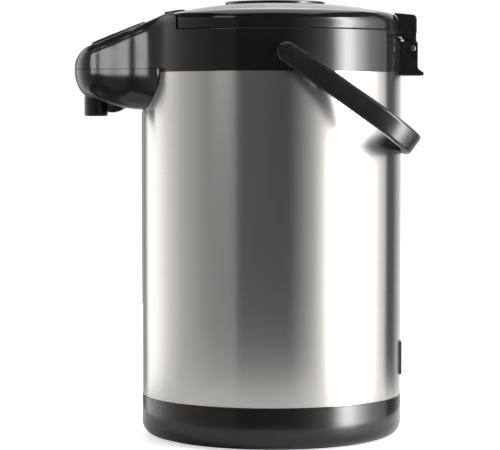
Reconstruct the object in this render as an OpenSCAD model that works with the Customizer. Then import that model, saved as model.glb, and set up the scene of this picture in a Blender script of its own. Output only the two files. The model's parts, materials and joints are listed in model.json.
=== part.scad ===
// Electric thermo pot: a brushed steel jacket round a hanging inner pot, a glossy head with a
// dispensing beak, a hinged lid with a hand pump, and a carrying bail.
// Up is +Z, the beak points along -Y and the axis of the body is X = Y = 0, with Z = 0 at the foot.

/* [Body] */
// Outer radius of the steel jacket
body_r = 105; // [104.5:0.5:105.5]
// Thickness of the jacket sheet
jacket_t = 0.8; // [0.6:0.1:1]
// Height of the base ring
base_h = 34; // [32:1:36]
// Height of the jacket's top edge
shoulder_z = 294.5; // [292:0.5:297]
// Height of the glossy ring above the jacket
ring_h = 33; // [32.5:0.5:33.5]

/* [Lid] */
// Rise of the lid's crown above the seam
lid_rise = 24.1; // [23.6:0.1:24.6]
// Radius of the lid's outline
lid_r = 103.8; // [103.4:0.2:104]
// Crown radius of the lid
crown_r = 500; // [460:10:540]
// Radius of the push plate
plate_r = 40.6; // [38:0.2:41]
// Stroke of the push plate
pump_stroke = 12; // [8:1:13]

/* [Beak] */
// Distance from the body's axis to the tip of the beak
beak_reach = 159.4; // [158:0.2:161]
// Half width of the beak where it leaves the body
beak_half_w = 50; // [48:0.5:52]
// Half width of the beak where the nose starts to turn in
nose_half_w = 44; // [42:0.5:46]
// Radius along the beak's upper edges
beak_edge_r = 9; // [7:0.5:10]
// Wall of the moulded head
wall = 2.5; // [2.2:0.1:2.8]

/* [Inner pot] */
// Outer radius of the inner pot
pot_r = 88; // [86:0.5:88.5]
// Height of the inner pot's floor
pot_floor_z = 84; // [83:0.5:86]
// Sheet thickness of the inner pot
pot_t = 0.8; // [0.6:0.1:1]

/* [Bail] */
// Swing of the bail below the level line when it is lowered
bail_drop = 35.5; // [34:0.5:36.5]
// Outer reach of the bail from its pivots
bail_reach = 126.2; // [126:0.1:127.5]
// Half width over the bail's arms
bail_half_w = 118; // [117:0.5:120]

/* [Hidden] */

// Fits
eps = 0.01;
seam_gap = 0.3;
run_gap = 0.05;
big = 400;
smooth = 96;

// Levels
foot_z = 1.2;
seam_z = shoulder_z + ring_h;
beak_seam_z = shoulder_z + 2.5;
lid_top_z = seam_z + lid_rise;
deck_z = seam_z - 8;
deck_t = 2.5;
ledge_z = shoulder_z + 8.5;
ledge_t = 3.5;
chassis_z = base_h + 8;
chassis_t = 3;

// Radii
base_r = body_r + 0.4;
base_corner_r = 11;
jacket_in_r = body_r - jacket_t;
lip_r = jacket_in_r - 0.3;
ring_in_r = body_r - 2.8;
pot_flange_r = pot_r + 4;
mouth_r = 76;
plug_r = mouth_r - 2;

// Beak outline
fillet_r = 35;
fillet_x = beak_half_w + fillet_r;
fillet_y = -sqrt(pow(body_r + fillet_r, 2) - pow(fillet_x, 2));
fillet_on_body_y = fillet_y * body_r / (body_r + fillet_r);
nose_y = -138;
beak_slope = 22;
lid_slope = 11;
// Where the beak's slope turns into the gentler slope of the lid's front
break_y = -86;
break_z = seam_z + 13.5;

// Lid front: a wide arc in plan
front_r = 250;
front_y = -86 + front_r;

// Control panel, centred on the sloping top of the beak
panel_y = -123;
panel_w = 66;
panel_l = 46;
panel_corner_r = 7;

// Water path
riser_y = -96.8;
tube_r = 4.5;
tube_bore_r = 3.3;
pump_y = -52;
outlet_z = 307;
nozzle_y = -142.6;
nozzle_r = 9.5;
nozzle_z = 259.4;
nozzle_top_z = 284;
// Flange that holds the nozzle in the beak
seat_z = 281;
seat_r = 10.8;
lever_pin_y = -122;
lever_pin_z = 281;

// Hinge
hinge_y = 113.2;
hinge_z = 313.8;
hinge_half_w = 20.6;
knuckle_half_w = 12;
hinge_pin_r = 2.5;
rear_half_w = 53;

// Bail
bail_y = 10.9;
bail_z = 308.3;
bail_inner_half_w = 107;
bail_inner_reach = 116.5;
stud_r = 5;

// Push plate
plate_y = 3;
bellows_z = 317;
bellows_h = 25;

// Latch
latch_travel = 4;

// ---------- Shared forms ----------

// Ring of rectangular section
module ring(r_in, r_out, z0, z1) {
    rotate_extrude($fn = smooth)
        translate([r_in, z0]) square([r_out - r_in, z1 - z0]);
}

// Outline in the YZ plane, given as [y, z] points, drawn out along X about the middle
module side_extrude(points, half_w) {
    translate([-half_w, 0, 0])
        rotate([90, 0, 90])
            linear_extrude(2 * half_w) polygon(points);
}

// Cylinder along X between two values of x
module x_rod(r, x0, x1, y, z, fn = 48) {
    translate([x0, y, z])
        rotate([0, 90, 0]) cylinder(r = r, h = x1 - x0, $fn = fn);
}

// Rounded bar, centred in X and Y, between two heights
module rounded_bar(w, l, r, z0, z1) {
    translate([0, 0, z0])
        union() {
            translate([-w / 2 + r, -l / 2, 0]) cube([w - 2 * r, l, z1 - z0]);
            translate([-w / 2, -l / 2 + r, 0]) cube([w, l - 2 * r, z1 - z0]);
            for (sx = [-1, 1], sy = [-1, 1])
                translate([sx * (w / 2 - r), sy * (l / 2 - r), 0]) cylinder(r = r, h = z1 - z0, $fn = 48);
        }
}

// Quarter bend of a pipe in the YZ plane about [y, z], from angle a0 to a0 + 90
module pipe_bend(y, z, bend_r, r_out, r_in, a0) {
    translate([0, y, z])
        rotate([90, 0, 90])
            rotate([0, 0, a0])
                rotate_extrude(angle = 90, $fn = 64)
                    translate([bend_r, 0])
                        difference() {
                            circle(r = r_out, $fn = 32);
                            circle(r = r_in, $fn = 32);
                        }
}

// Straight pipe along Y
module y_pipe(y0, y1, z, r_out, r_in) {
    translate([0, y0, z])
        rotate([-90, 0, 0])
            difference() {
                cylinder(r = r_out, h = y1 - y0, $fn = 48);
                translate([0, 0, -eps]) cylinder(r = r_in, h = y1 - y0 + 2 * eps, $fn = 48);
            }
}

// Straight pipe along Z at a place on the Y axis
module z_pipe(y, z0, z1, r_out, r_in) {
    translate([0, y, 0])
        ring(r_in, r_out, z0, z1);
}

// ---------- Form of the head ----------

// Half width of the head in plan: body, fillet, beak side, nose
function half_width(y) =
    y > fillet_on_body_y ? sqrt(pow(body_r - 0.15, 2) - y * y)
    : y > fillet_y ? fillet_x - sqrt(pow(fillet_r, 2) - pow(y - fillet_y, 2))
    : y > nose_y ? beak_half_w + (nose_half_w - beak_half_w) * (fillet_y - y) / (fillet_y - nose_y)
    : nose_half_w * pow(1 - pow((nose_y - y) / (nose_y + beak_reach), 2.4), 1 / 2.4);

// Height of the top line in the middle of the head
function slope_line(y) =
    y < break_y ? break_z + (y - break_y) * tan(beak_slope) : break_z + (y - break_y) * tan(lid_slope);
function nose_turn(y, start, power) =
    y > start ? 1 : pow(1 - pow((start - y) / (start + beak_reach), power), 1 / power);
function top_line(y) = beak_seam_z + (slope_line(y) - beak_seam_z) * nose_turn(y, -146, 2.2);

// Depth of the lower beak below its seam
function floor_depth(y) = (32 - 0.0046 * pow(min(0, y + 100), 2)) * nose_turn(y, -150, 2);

// Stations along the beak: close together round the nose and the fillet
nose_steps = 7;
stations = concat(
    [for (i = [0:nose_steps - 1]) nose_y - (beak_reach + nose_y - 0.05) * cos(90 * i / nose_steps)],
    [nose_y, (nose_y + fillet_y) / 2],
    [for (i = [0:3]) fillet_y + (fillet_on_body_y - fillet_y) * i / 3],
    [-80, -70]
);

// Section of the upper head: upright sides, rounded edges, a slightly crowned top
function upper_section(w, z0, z1) =
    let (
        r = min(beak_edge_r, 0.6 * w, 0.8 * (z1 - z0)),
        crown = min(1.5, 0.2 * (z1 - z0)) * min(1, w / 40),
        half = concat(
            [[w, z0]],
            [for (a = [0:15:90]) [w - r + r * cos(a), z1 - crown - r + r * sin(a)]],
            [[0.5 * (w - r), z1 - 0.25 * crown]]
        ),
        n = len(half)
    )
    concat(half, [[0, z1]], [for (i = [0:n - 1]) [-half[n - 1 - i][0], half[n - 1 - i][1]]]);

// Section of the lower beak: a flat floor that sweeps up into the sides
function lower_section(w, z1, depth) =
    let (flat = 0.44 * w)
    concat(
        [for (a = [0:11.25:90]) [flat + (w - flat) * cos(a), z1 - depth * sin(a)]],
        [for (a = [90:-11.25:0]) [-flat - (w - flat) * cos(a), z1 - depth * sin(a)]]
    );

// How far a station moves in for the inside of the nose
function nose_inset(y, t) = y < -140 ? t * (-140 - y) / (beak_reach - 140) : 0;

// Convex span between two sections, given as [x, z] points at y0 and y1
module span(y0, p0, y1, p1) {
    n = len(p0);
    hull()
        polyhedron(
            points = concat([for (p = p0) [p[0], y0, p[1]]], [for (p = p1) [p[0], y1, p[1]]]),
            faces = [[for (i = [0:n - 1]) i], [for (i = [2 * n - 1:-1:n]) i]]
        );
}

// Sections of the upper head, inset by t and open below by drop
function upper_at(y, t, drop) =
    upper_section(max(2, half_width(y) - t), beak_seam_z - drop, max(top_line(y) - t, beak_seam_z + 0.2));

// Sections of the lower beak, inset by t, its top raised by rise
function lower_at(y, t, rise) =
    lower_section(
        max(2, min(half_width(y), beak_half_w + 7) - t),
        beak_seam_z - seam_gap + rise,
        max(0.3, floor_depth(y) - t + rise)
    );

module upper_loft(t, drop) {
    for (i = [0:len(stations) - 2])
        let (a = stations[i], b = stations[i + 1])
            span(a + nose_inset(a, t), upper_at(a, t, drop), b + nose_inset(b, t), upper_at(b, t, drop));
}

module lower_loft(t, rise) {
    for (i = [0:len(stations) - 2])
        let (a = stations[i], b = stations[i + 1])
            span(a + nose_inset(a, t), lower_at(a, t, rise), b + nose_inset(b, t), lower_at(b, t, rise));
}

// The lid's outer form down to z0, moved in by inset
module lid_form(inset, z0) {
    rim_r = 10;
    crown_z = lid_top_z - crown_r;
    // The rim's arc runs into the crown without a kink
    rim_z = crown_z + sqrt(pow(crown_r - rim_r, 2) - pow(lid_r - rim_r, 2));
    meet_a = 90 - asin((lid_r - rim_r) / (crown_r - rim_r));
    meet_r = lid_r - rim_r + rim_r * cos(meet_a);
    intersection() {
        rotate_extrude($fn = smooth)
            polygon(concat(
                [[0, z0], [lid_r - inset, z0]],
                [
                    for (a = [0:meet_a / 5:meet_a - 1])
                    [lid_r - rim_r + (rim_r - inset) * cos(a), rim_z + (rim_r - inset) * sin(a)]
                ],
                [
                    for (r = [meet_r:-meet_r / 7:1])
                    [r, crown_z + sqrt(pow(crown_r - inset, 2) - r * r)]
                ],
                [[0, lid_top_z - inset]]
            ));
        side_extrude(
            [
                [-120, z0], [120, z0], [120, big], [-38, big],
                [-38, slope_line(-38) - inset], [-120, slope_line(-38) - 82 * tan(lid_slope) - inset]
            ],
            120
        );
        translate([0, front_y, z0]) cylinder(r = front_r - seam_gap - inset, h = 100, $fn = 360);
    }
}

// ---------- Base ----------

module foot_ring() {
    color("#1b1b1b") ring(84, 92, 0, 4);
}

module base_ring() {
    corner = base_r - base_corner_r;
    color("#17181a")
        difference() {
            rotate_extrude($fn = smooth)
                polygon(concat(
                    [[78, foot_z]],
                    [
                        for (a = [-90:15:0])
                        [corner + base_corner_r * cos(a), foot_z + base_corner_r + base_corner_r * sin(a)]
                    ],
                    [
                        [base_r, base_h], [lip_r, base_h], [lip_r, chassis_z], [lip_r - wall, chassis_z],
                        [lip_r - wall, 14], [96, 8], [70.5, 8], [70.5, 4.6], [78, 4.6]
                    ]
                ));
            ring(84, 92, 0, 4);
            for (a = [45:90:315])
                rotate([0, 0, a])
                    translate([74, 0, 4]) cylinder(r = 1.5, h = 5, $fn = 24);
        }
}

module bottom_cover() {
    color("#232425")
        difference() {
            translate([0, 0, 1.4]) cylinder(r = 77.5, h = 3.2, $fn = smooth);
            for (a = [45:90:315])
                rotate([0, 0, a])
                    translate([74, 0, 0]) {
                        cylinder(r = 1.8, h = 10, $fn = 24);
                        cylinder(r = 3.2, h = 2.8, $fn = 32);
                    }
            // Cooling slots in three rings
            for (row = [0:2])
                for (a = [0:30:330])
                    rotate([0, 0, a + 15 * row])
                        translate([26 + 13 * row, 0, 0])
                            linear_extrude(10) {
                                translate([-4, -1.2]) square([8, 2.4]);
                                translate([-4, 0]) circle(r = 1.2, $fn = 24);
                                translate([4, 0]) circle(r = 1.2, $fn = 24);
                            }
        }
}

module bottom_screws() {
    color("silver")
        for (a = [45:90:315])
            rotate([0, 0, a])
                translate([74, 0, 0]) {
                    translate([0, 0, 1.6]) cylinder(r = 3, h = 1.2, $fn = 32);
                    translate([0, 0, 2.7]) cylinder(r = 1.45, h = 5.3, $fn = 24);
                }
}

module chassis_plate() {
    color("#8d8f91")
        difference() {
            union() {
                translate([0, 0, chassis_z]) cylinder(r = lip_r - 0.4, h = chassis_t, $fn = smooth);
                for (x = [-40, 40], y = [12, 68])
                    translate([x, y, 31.6]) cylinder(r = 3.5, h = chassis_z - 31.6 + eps, $fn = 32);
            }
            translate([0, pump_y, 0]) cylinder(r = 18.5, h = 100, $fn = 64);
            for (x = [-62, 62])
                translate([x, -20, 0]) cylinder(r = 12, h = 100, $fn = 48);
            translate([0, 84, 0]) cylinder(r = 9, h = 100, $fn = 48);
        }
}

// ---------- Jacket ----------

window_z0 = 110;
window_z1 = 260;
inlet_z = 64;

module steel_jacket() {
    color("#b9b8b4")
        difference() {
            ring(jacket_in_r, body_r, base_h, shoulder_z);
            translate([-8.3, -120, window_z0 - 3.3]) cube([16.6, 60, window_z1 - window_z0 + 6.6]);
            translate([-20.3, 60, inlet_z - 14]) cube([40.6, 60, 28]);
        }
}

module window_frame() {
    color("#1c1d1f")
        difference() {
            union() {
                intersection() {
                    ring(jacket_in_r - 1.8, body_r + 0.3, window_z0 - 10, window_z1 + 10);
                    translate([-8, -120, window_z0 - 3]) cube([16, 60, window_z1 - window_z0 + 6]);
                }
                intersection() {
                    ring(jacket_in_r - 1.8, jacket_in_r - 0.1, window_z0 - 10, window_z1 + 10);
                    translate([-11, -120, window_z0 - 6]) cube([22, 60, window_z1 - window_z0 + 12]);
                }
            }
            translate([-5.9, -120, window_z0]) cube([11.8, 60, window_z1 - window_z0]);
        }
}

module level_window() {
    color("#dfe6e8")
        intersection() {
            ring(jacket_in_r - 0.6, body_r, window_z0, window_z1);
            translate([-5.9, -120, window_z0]) cube([11.8, 60, window_z1 - window_z0]);
        }
}

module inlet_socket() {
    color("#17181a")
        difference() {
            union() {
                intersection() {
                    translate([-20, 82, inlet_z - 13.7]) cube([40, 30, 27.4]);
                    cylinder(r = body_r + 0.4, h = 200, $fn = smooth);
                }
                intersection() {
                    translate([-24, 96, inlet_z - 17]) cube([48, 20, 34]);
                    cylinder(r = jacket_in_r - 0.1, h = 200, $fn = smooth);
                }
            }
            translate([-15, 88, inlet_z - 9]) cube([30, 30, 18]);
            for (x = [-9, 0, 9])
                translate([x, 80, inlet_z]) rotate([-90, 0, 0]) cylinder(r = 2, h = 20, $fn = 32);
        }
}

module inlet_pins() {
    color("gold")
        for (x = [-9, 0, 9])
            translate([x, 79, inlet_z]) rotate([-90, 0, 0]) cylinder(r = 2, h = 19, $fn = 32);
}

// ---------- Inner pot and heaters ----------

module inner_pot() {
    corner_r = 14;
    color("#c9c9c6")
        union() {
            difference() {
                rotate_extrude($fn = smooth)
                    polygon(concat(
                        [[0, pot_floor_z]],
                        [
                            for (a = [-90:15:0])
                            [pot_r - corner_r + corner_r * cos(a), pot_floor_z + corner_r + corner_r * sin(a)]
                        ],
                        [
                            [pot_r, ledge_z], [pot_flange_r, ledge_z], [pot_flange_r, ledge_z + pot_t],
                            [pot_r - pot_t, ledge_z + pot_t]
                        ],
                        [
                            for (a = [0:-15:-90])
                            [
                                pot_r - corner_r + (corner_r - pot_t) * cos(a),
                                pot_floor_z + corner_r + (corner_r - pot_t) * sin(a)
                            ]
                        ],
                        [[0, pot_floor_z + pot_t]]
                    ));
                translate([0, pump_y, pot_floor_z - 1]) cylinder(r = 5.5, h = 4, $fn = 48);
            }
            z_pipe(pump_y, 74, pot_floor_z + eps, 7, 5.5);
        }
}

module pot_gasket() {
    color("#d8d4cc") ring(pot_r + 0.5, pot_flange_r, ledge_z + pot_t, ledge_z + 3.8);
}

module mouth_ring() {
    z0 = ledge_z + 3.8;
    color("#232426")
        rotate_extrude($fn = smooth)
            polygon([
                [pot_r - 1.5, z0], [pot_flange_r, z0], [pot_flange_r, deck_z], [mouth_r, deck_z],
                [mouth_r, deck_z - 3], [pot_r - 4, deck_z - 6.5]
            ]);
}

module heating_plate() {
    color("#9a9b9d")
        union() {
            translate([0, 0, pot_floor_z - 3]) cylinder(r = 40, h = 3, $fn = smooth);
            // Sheathed element cast on below, with its two ends
            translate([0, 0, pot_floor_z - 3])
                rotate_extrude($fn = smooth)
                    translate([31, 0]) intersection() {
                        circle(r = 3.6, $fn = 32);
                        translate([-4, -4]) square([8, 4.01]);
                    }
            for (x = [-6, 6])
                translate([x, 31, pot_floor_z - 14]) cylinder(r = 2.2, h = 11.5, $fn = 32);
        }
}

module band_heater() {
    color("#b08d57")
        union() {
            ring(pot_r, pot_r + 1.6, 104, 140);
            for (x = [-5, 5])
                translate([x - 1.5, pot_r + 1.2, 116]) cube([3, 5, 12]);
        }
}

module thermostat() {
    color("#4d4f52")
        union() {
            translate([0, 0, pot_floor_z - 9]) cylinder(r = 9, h = 6, $fn = 48);
            translate([0, 0, pot_floor_z - 13]) cylinder(r = 6, h = 4 + eps, $fn = 48);
            for (x = [-9, 5])
                translate([x, -1.5, pot_floor_z - 12]) cube([4, 3, 3.5]);
        }
}

// ---------- Pump and water path ----------

pump_z = chassis_z + chassis_t;

module pump_body() {
    color("#d9d7d0")
        union() {
            difference() {
                union() {
                    translate([0, pump_y, pump_z]) cylinder(r = 22, h = 16, $fn = 64);
                    translate([0, pump_y, pump_z + 15]) cylinder(r = 7, h = 10, $fn = 48);
                    y_pipe(pump_y - 30, pump_y - 16, pump_z + 8.5, 6, 4);
                }
                translate([0, pump_y, pump_z - 1]) cylinder(r = 17, h = 3, $fn = 64);
                translate([0, pump_y, pump_z + 4]) cylinder(r = 18, h = 9, $fn = 64);
                translate([0, pump_y, pump_z + 12]) cylinder(r = 5, h = 20, $fn = 48);
                translate([0, pump_y - 10, pump_z + 8.5])
                    rotate([90, 0, 0]) cylinder(r = 4, h = 30, $fn = 48);
            }
            translate([0, pump_y, pump_z + 3]) cylinder(r = 1.5, h = 9, $fn = 32);
        }
}

module pump_impeller() {
    color("#e6e6e6")
        difference() {
            union() {
                translate([0, pump_y, pump_z + 5]) cylinder(r = 15.5, h = 1.5, $fn = 64);
                translate([0, pump_y, pump_z + 4.6]) cylinder(r = 4, h = 7, $fn = 48);
                for (a = [0:60:300])
                    translate([0, pump_y, pump_z + 6.4])
                        rotate([0, 0, a]) translate([3.5, -0.8, 0]) cube([11.5, 1.6, 4.6]);
            }
            translate([0, pump_y, pump_z]) cylinder(r = 1.5 + run_gap, h = 20, $fn = 32);
        }
}

module pump_motor() {
    color("#7c7f83")
        difference() {
            union() {
                translate([0, pump_y, chassis_z - 28]) cylinder(r = 14, h = 22, $fn = 64);
                translate([0, pump_y, chassis_z - 8]) cylinder(r = 20.5, h = 8, $fn = 64);
            }
            translate([0, pump_y, chassis_z - 6]) cylinder(r = 18.5, h = 10, $fn = 64);
            translate([0, pump_y, chassis_z - 16]) cylinder(r = 2 + run_gap, h = 20, $fn = 32);
        }
}

module motor_magnet() {
    color("#34363a")
        union() {
            translate([0, pump_y, chassis_z - 3]) cylinder(r = 15.5, h = 7, $fn = 64);
            translate([0, pump_y, chassis_z - 15]) cylinder(r = 2, h = 13, $fn = 32);
        }
}

module suction_sleeve() {
    color("#cfcabd") z_pipe(pump_y, pump_z + 17, pump_z + 33, 9.5, 7);
}

elbow_bend_r = 8.5;
elbow_z = pump_z + 8.5 + elbow_bend_r;

module riser_elbow() {
    color("#cfcabd")
        union() {
            y_pipe(riser_y + elbow_bend_r, pump_y - 30, pump_z + 8.5, 6, 4);
            pipe_bend(riser_y + elbow_bend_r, elbow_z, elbow_bend_r, 6, 4, 180);
        }
}

outlet_bend_r = 7;

module level_tube() {
    color("#dfe8ea") z_pipe(riser_y, elbow_z, outlet_z - outlet_bend_r, tube_r, tube_bore_r);
}

module outlet_tube() {
    color("#cfcabd")
        union() {
            pipe_bend(
                riser_y - outlet_bend_r, outlet_z - outlet_bend_r, outlet_bend_r, tube_r, tube_bore_r, 0
            );
            y_pipe(nozzle_y + outlet_bend_r, riser_y - outlet_bend_r, outlet_z, tube_r, tube_bore_r);
            pipe_bend(
                nozzle_y + outlet_bend_r, outlet_z - outlet_bend_r, outlet_bend_r, tube_r, tube_bore_r, 90
            );
            z_pipe(nozzle_y, nozzle_top_z, outlet_z - outlet_bend_r, tube_r, tube_bore_r);
        }
}

module nozzle() {
    color("#18191b")
        translate([0, nozzle_y, 0])
            rotate_extrude($fn = 64)
                polygon([
                    [5, nozzle_z], [nozzle_r - 0.8, nozzle_z], [nozzle_r, nozzle_z + 0.8], [nozzle_r, seat_z],
                    [seat_r, seat_z], [seat_r, seat_z + 2], [7, seat_z + 2], [7, nozzle_top_z],
                    [3.6, nozzle_top_z],
                    [3.6, 281], [5, 281]
                ]);
}

// ---------- Electrics ----------

module power_board() {
    color("#2f6b3a")
        union() {
            translate([-45, 6, 30]) cube([90, 68, 1.6]);
            translate([-38, 14, 16]) cube([26, 22, 14 + eps]);
            translate([8, 14, 14]) cube([30, 26, 16 + eps]);
            for (x = [-30, -14, 2])
                translate([x, 60, 18]) cylinder(r = 5, h = 12 + eps, $fn = 32);
            translate([16, 50, 24]) cube([20, 16, 6 + eps]);
        }
}

// Places its children on the sloping top of the beak, with z along the normal
module on_panel(x = 0, v = 0) {
    translate([0, panel_y, slope_line(panel_y)])
        rotate([beak_slope, 0, 0])
            translate([x, v, 0]) children();
}

button_gap = 0.3;
dispense_r = 10.5;
small_button_r = 5.5;
button_x = 21;

module panel_holes(extra, z0, z1) {
    on_panel(0, -6) translate([0, 0, z0]) cylinder(r = dispense_r + extra, h = z1 - z0, $fn = 64);
    for (x = [-button_x, button_x])
        on_panel(x, -6) translate([0, 0, z0]) cylinder(r = small_button_r + extra, h = z1 - z0, $fn = 48);
}

module control_panel() {
    color("#202124")
        difference() {
            on_panel() {
                rounded_bar(panel_w, panel_l, panel_corner_r, -5, 0.9);
                rounded_bar(panel_w + 3, panel_l + 3, panel_corner_r + 1.5, -5, -3.9);
            }
            panel_holes(button_gap, -6, 2);
            panel_holes(2, -6, -2.2);
            for (x = [-10, 0, 10])
                on_panel(x, 14) translate([0, 0, -6]) cylinder(r = 1.8, h = 10, $fn = 32);
        }
}

module button(x, r) {
    on_panel(x, -6)
        union() {
            translate([0, 0, -3.4]) cylinder(r = r, h = 4.9, $fn = 64);
            translate([0, 0, -4.1]) cylinder(r = r + 1.4, h = 0.9, $fn = 64);
        }
}

module dispense_button() {
    color("#3d4046") button(0, dispense_r);
}

module reboil_button() {
    color("#3d4046") button(-button_x, small_button_r);
}

module unlock_button() {
    color("#3d4046") button(button_x, small_button_r);
}

module indicator_lenses() {
    color("#d9532c")
        for (x = [-10, 0, 10])
            on_panel(x, 14) translate([0, 0, -4]) cylinder(r = 1.8, h = 5.1, $fn = 32);
}

module control_board() {
    color("#2f6b3a")
        union() {
            on_panel() translate([-30.5, -13, -8.4]) cube([61, 34, 1.6]);
            // Posts up to the panel
            for (x = [-29, 29], v = [-11, 17.5])
                on_panel(x, v) translate([0, 0, -6.9]) cylinder(r = 1.6, h = 1.9, $fn = 32);
            // One switch under each button
            for (x = [-button_x, 0, button_x])
                on_panel(x, -6) translate([-3, -3, -6.9]) cube([6, 6, 1.7]);
        }
}

// ---------- Head ----------

screw_x = 39.6;
screw_y = -118;

// Beak and the raised part before the lid, as a shell that ends inside the ring
module beak_shell() {
    difference() {
        upper_loft(0, 0);
        // Hollow, up to the wall before the lid
        difference() {
            upper_loft(wall, 1);
            translate([0, front_y, 0]) cylinder(r = front_r + wall, h = big, $fn = 360);
        }
        cylinder(r = pot_flange_r + 0.6, h = deck_z + seam_gap, $fn = smooth);
        cylinder(r = ring_in_r + 0.8, h = deck_z - 0.6, $fn = smooth);
        // Room for the lid, wider over the ring than inside it
        intersection() {
            translate([0, front_y, deck_z - 0.6]) cylinder(r = front_r + 0.2, h = 100, $fn = 360);
            rotate_extrude($fn = smooth)
                polygon([
                    [0, deck_z - 1], [ring_in_r + 0.8, deck_z - 1], [ring_in_r + 0.8, seam_z - seam_gap],
                    [body_r + 9, seam_z - seam_gap], [body_r + 9, seam_z + 100], [0, seam_z + 100]
                ]);
        }
    }
}

module head_frame() {
    color("#0d0e10")
        difference() {
            union() {
                beak_shell();
                // Ring with its lip, the ledge for the pot and the deck under the lid
                rotate_extrude($fn = smooth)
                    polygon([
                        [lip_r - 2.3, shoulder_z - 6], [lip_r, shoulder_z - 6], [lip_r, shoulder_z],
                        [body_r, shoulder_z], [body_r, seam_z - 1.2], [body_r - 1.2, seam_z],
                        [ring_in_r - 0.6, seam_z], [ring_in_r - 0.6, deck_z], [pot_flange_r + 0.4, deck_z],
                        [pot_flange_r + 0.4, deck_z - deck_t], [ring_in_r, deck_z - deck_t],
                        [ring_in_r, ledge_z], [pot_r + 1.2, ledge_z], [pot_r + 1.2, ledge_z - ledge_t],
                        [lip_r - 2.3, ledge_z - ledge_t]
                    ]);
                // Pads for the bail studs
                for (s = [-1, 1])
                    scale([s, 1, 1]) x_rod(8.4, 97.5, 102.6, bail_y, bail_z);
                // Bosses for the beak screws
                for (x = [-screw_x, screw_x])
                    intersection() {
                        translate([x, screw_y, beak_seam_z + 0.2]) cylinder(r = 3.6, h = 60, $fn = 32);
                        upper_loft(1.2, 1);
                    }
            }
            // Way through the ring for the outlet tube and the wires
            translate([-28, -115, ledge_z - 0.4]) cube([56, 35, deck_z - deck_t - ledge_z - 0.6]);
            translate([0, riser_y, shoulder_z - 10]) cylinder(r = 5.2, h = 20, $fn = 48);
            translate([0, riser_y - 1.6, ledge_z - 2]) cylinder(r = 5.4, h = 3, $fn = 48);
            // Room for the hinge bracket
            translate([0, 0, shoulder_z - 0.2])
                difference() {
                    translate([-rear_half_w - seam_gap, 60, 0])
                        cube([2 * (rear_half_w + seam_gap), 60, 60]);
                    translate([0, 0, -1]) cylinder(r = ring_in_r - 1.4, h = 62, $fn = smooth);
                }
            // Panel window
            on_panel() rounded_bar(panel_w + 0.5, panel_l + 0.5, panel_corner_r + 0.25, -12, 20);
            // Striker window for the latch
            translate([-10, -95, seam_z + 1]) cube([20, 20, 7]);
            for (s = [-1, 1])
                scale([s, 1, 1]) x_rod(6.1, 90, 110, bail_y, bail_z);
            for (x = [-screw_x, screw_x])
                translate([x, screw_y, beak_seam_z - 5]) cylinder(r = 1.6, h = 14, $fn = 24);
        }
}

module lower_beak_cover() {
    color("#111214")
        difference() {
            union() {
                difference() {
                    lower_loft(0, 0);
                    lower_loft(wall, 1);
                }
                // Seat of the nozzle
                intersection() {
                    translate([0, nozzle_y, 255]) cylinder(r = 12.5, h = seat_z - 255, $fn = 48);
                    lower_loft(0, 0);
                }
                // Posts of the lever pin
                for (s = [-1, 1])
                    intersection() {
                        translate([s * 14 - 2, lever_pin_y - 4, 255]) cube([4, 8, lever_pin_z + 4 - 255]);
                        lower_loft(0, 0);
                    }
                // Posts of the beak screws
                for (x = [-screw_x, screw_x])
                    intersection() {
                        translate([x, screw_y, 255]) cylinder(r = 3.9, h = beak_seam_z - 255, $fn = 32);
                        lower_loft(0, seam_gap);
                    }
            }
            cylinder(r = body_r + 0.3, h = big, $fn = 180);
            translate([0, nozzle_y, 200]) cylinder(r = nozzle_r + 0.2, h = 100, $fn = 48);
            translate([0, nozzle_y, seat_z]) cylinder(r = seat_r + 0.3, h = 4, $fn = 48);
            translate([-11.6, -133.6, 255]) cube([23.2, 22.6, 26]);
            x_rod(1.6, -20, 20, lever_pin_y, lever_pin_z, 24);
            for (x = [-screw_x, screw_x])
                translate([x, screw_y, 250]) {
                    cylinder(r = 1.7, h = 60, $fn = 24);
                    cylinder(r = 3.3, h = 34, $fn = 32);
                }
        }
}

module beak_screws() {
    color("silver")
        for (x = [-screw_x, screw_x])
            translate([x, screw_y, 0]) {
                translate([0, 0, 282]) cylinder(r = 3, h = 2, $fn = 32);
                translate([0, 0, 283.9]) cylinder(r = 1.45, h = 20, $fn = 24);
            }
}

module lever_pin() {
    color("silver") x_rod(1.5, -16, 16, lever_pin_y, lever_pin_z, 32);
}

module cup_lever() {
    color("#141517")
        difference() {
            union() {
                side_extrude(
                    [
                        [-127, 284], [-132.8, 276], [-132.8, 263.4], [-131.4, 262.3], [-128, 262.3],
                        [-123.2, 263.5],
                        [-119.4, 265.2], [-116.5, 267.6], [-116.5, 278], [-118, 284]
                    ],
                    11
                );
                x_rod(5, -11.7, 11.7, lever_pin_y, lever_pin_z, 48);
            }
            x_rod(1.5 + run_gap, -20, 20, lever_pin_y, lever_pin_z, 32);
        }
}

// ---------- Hinge and bail pivots ----------

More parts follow.
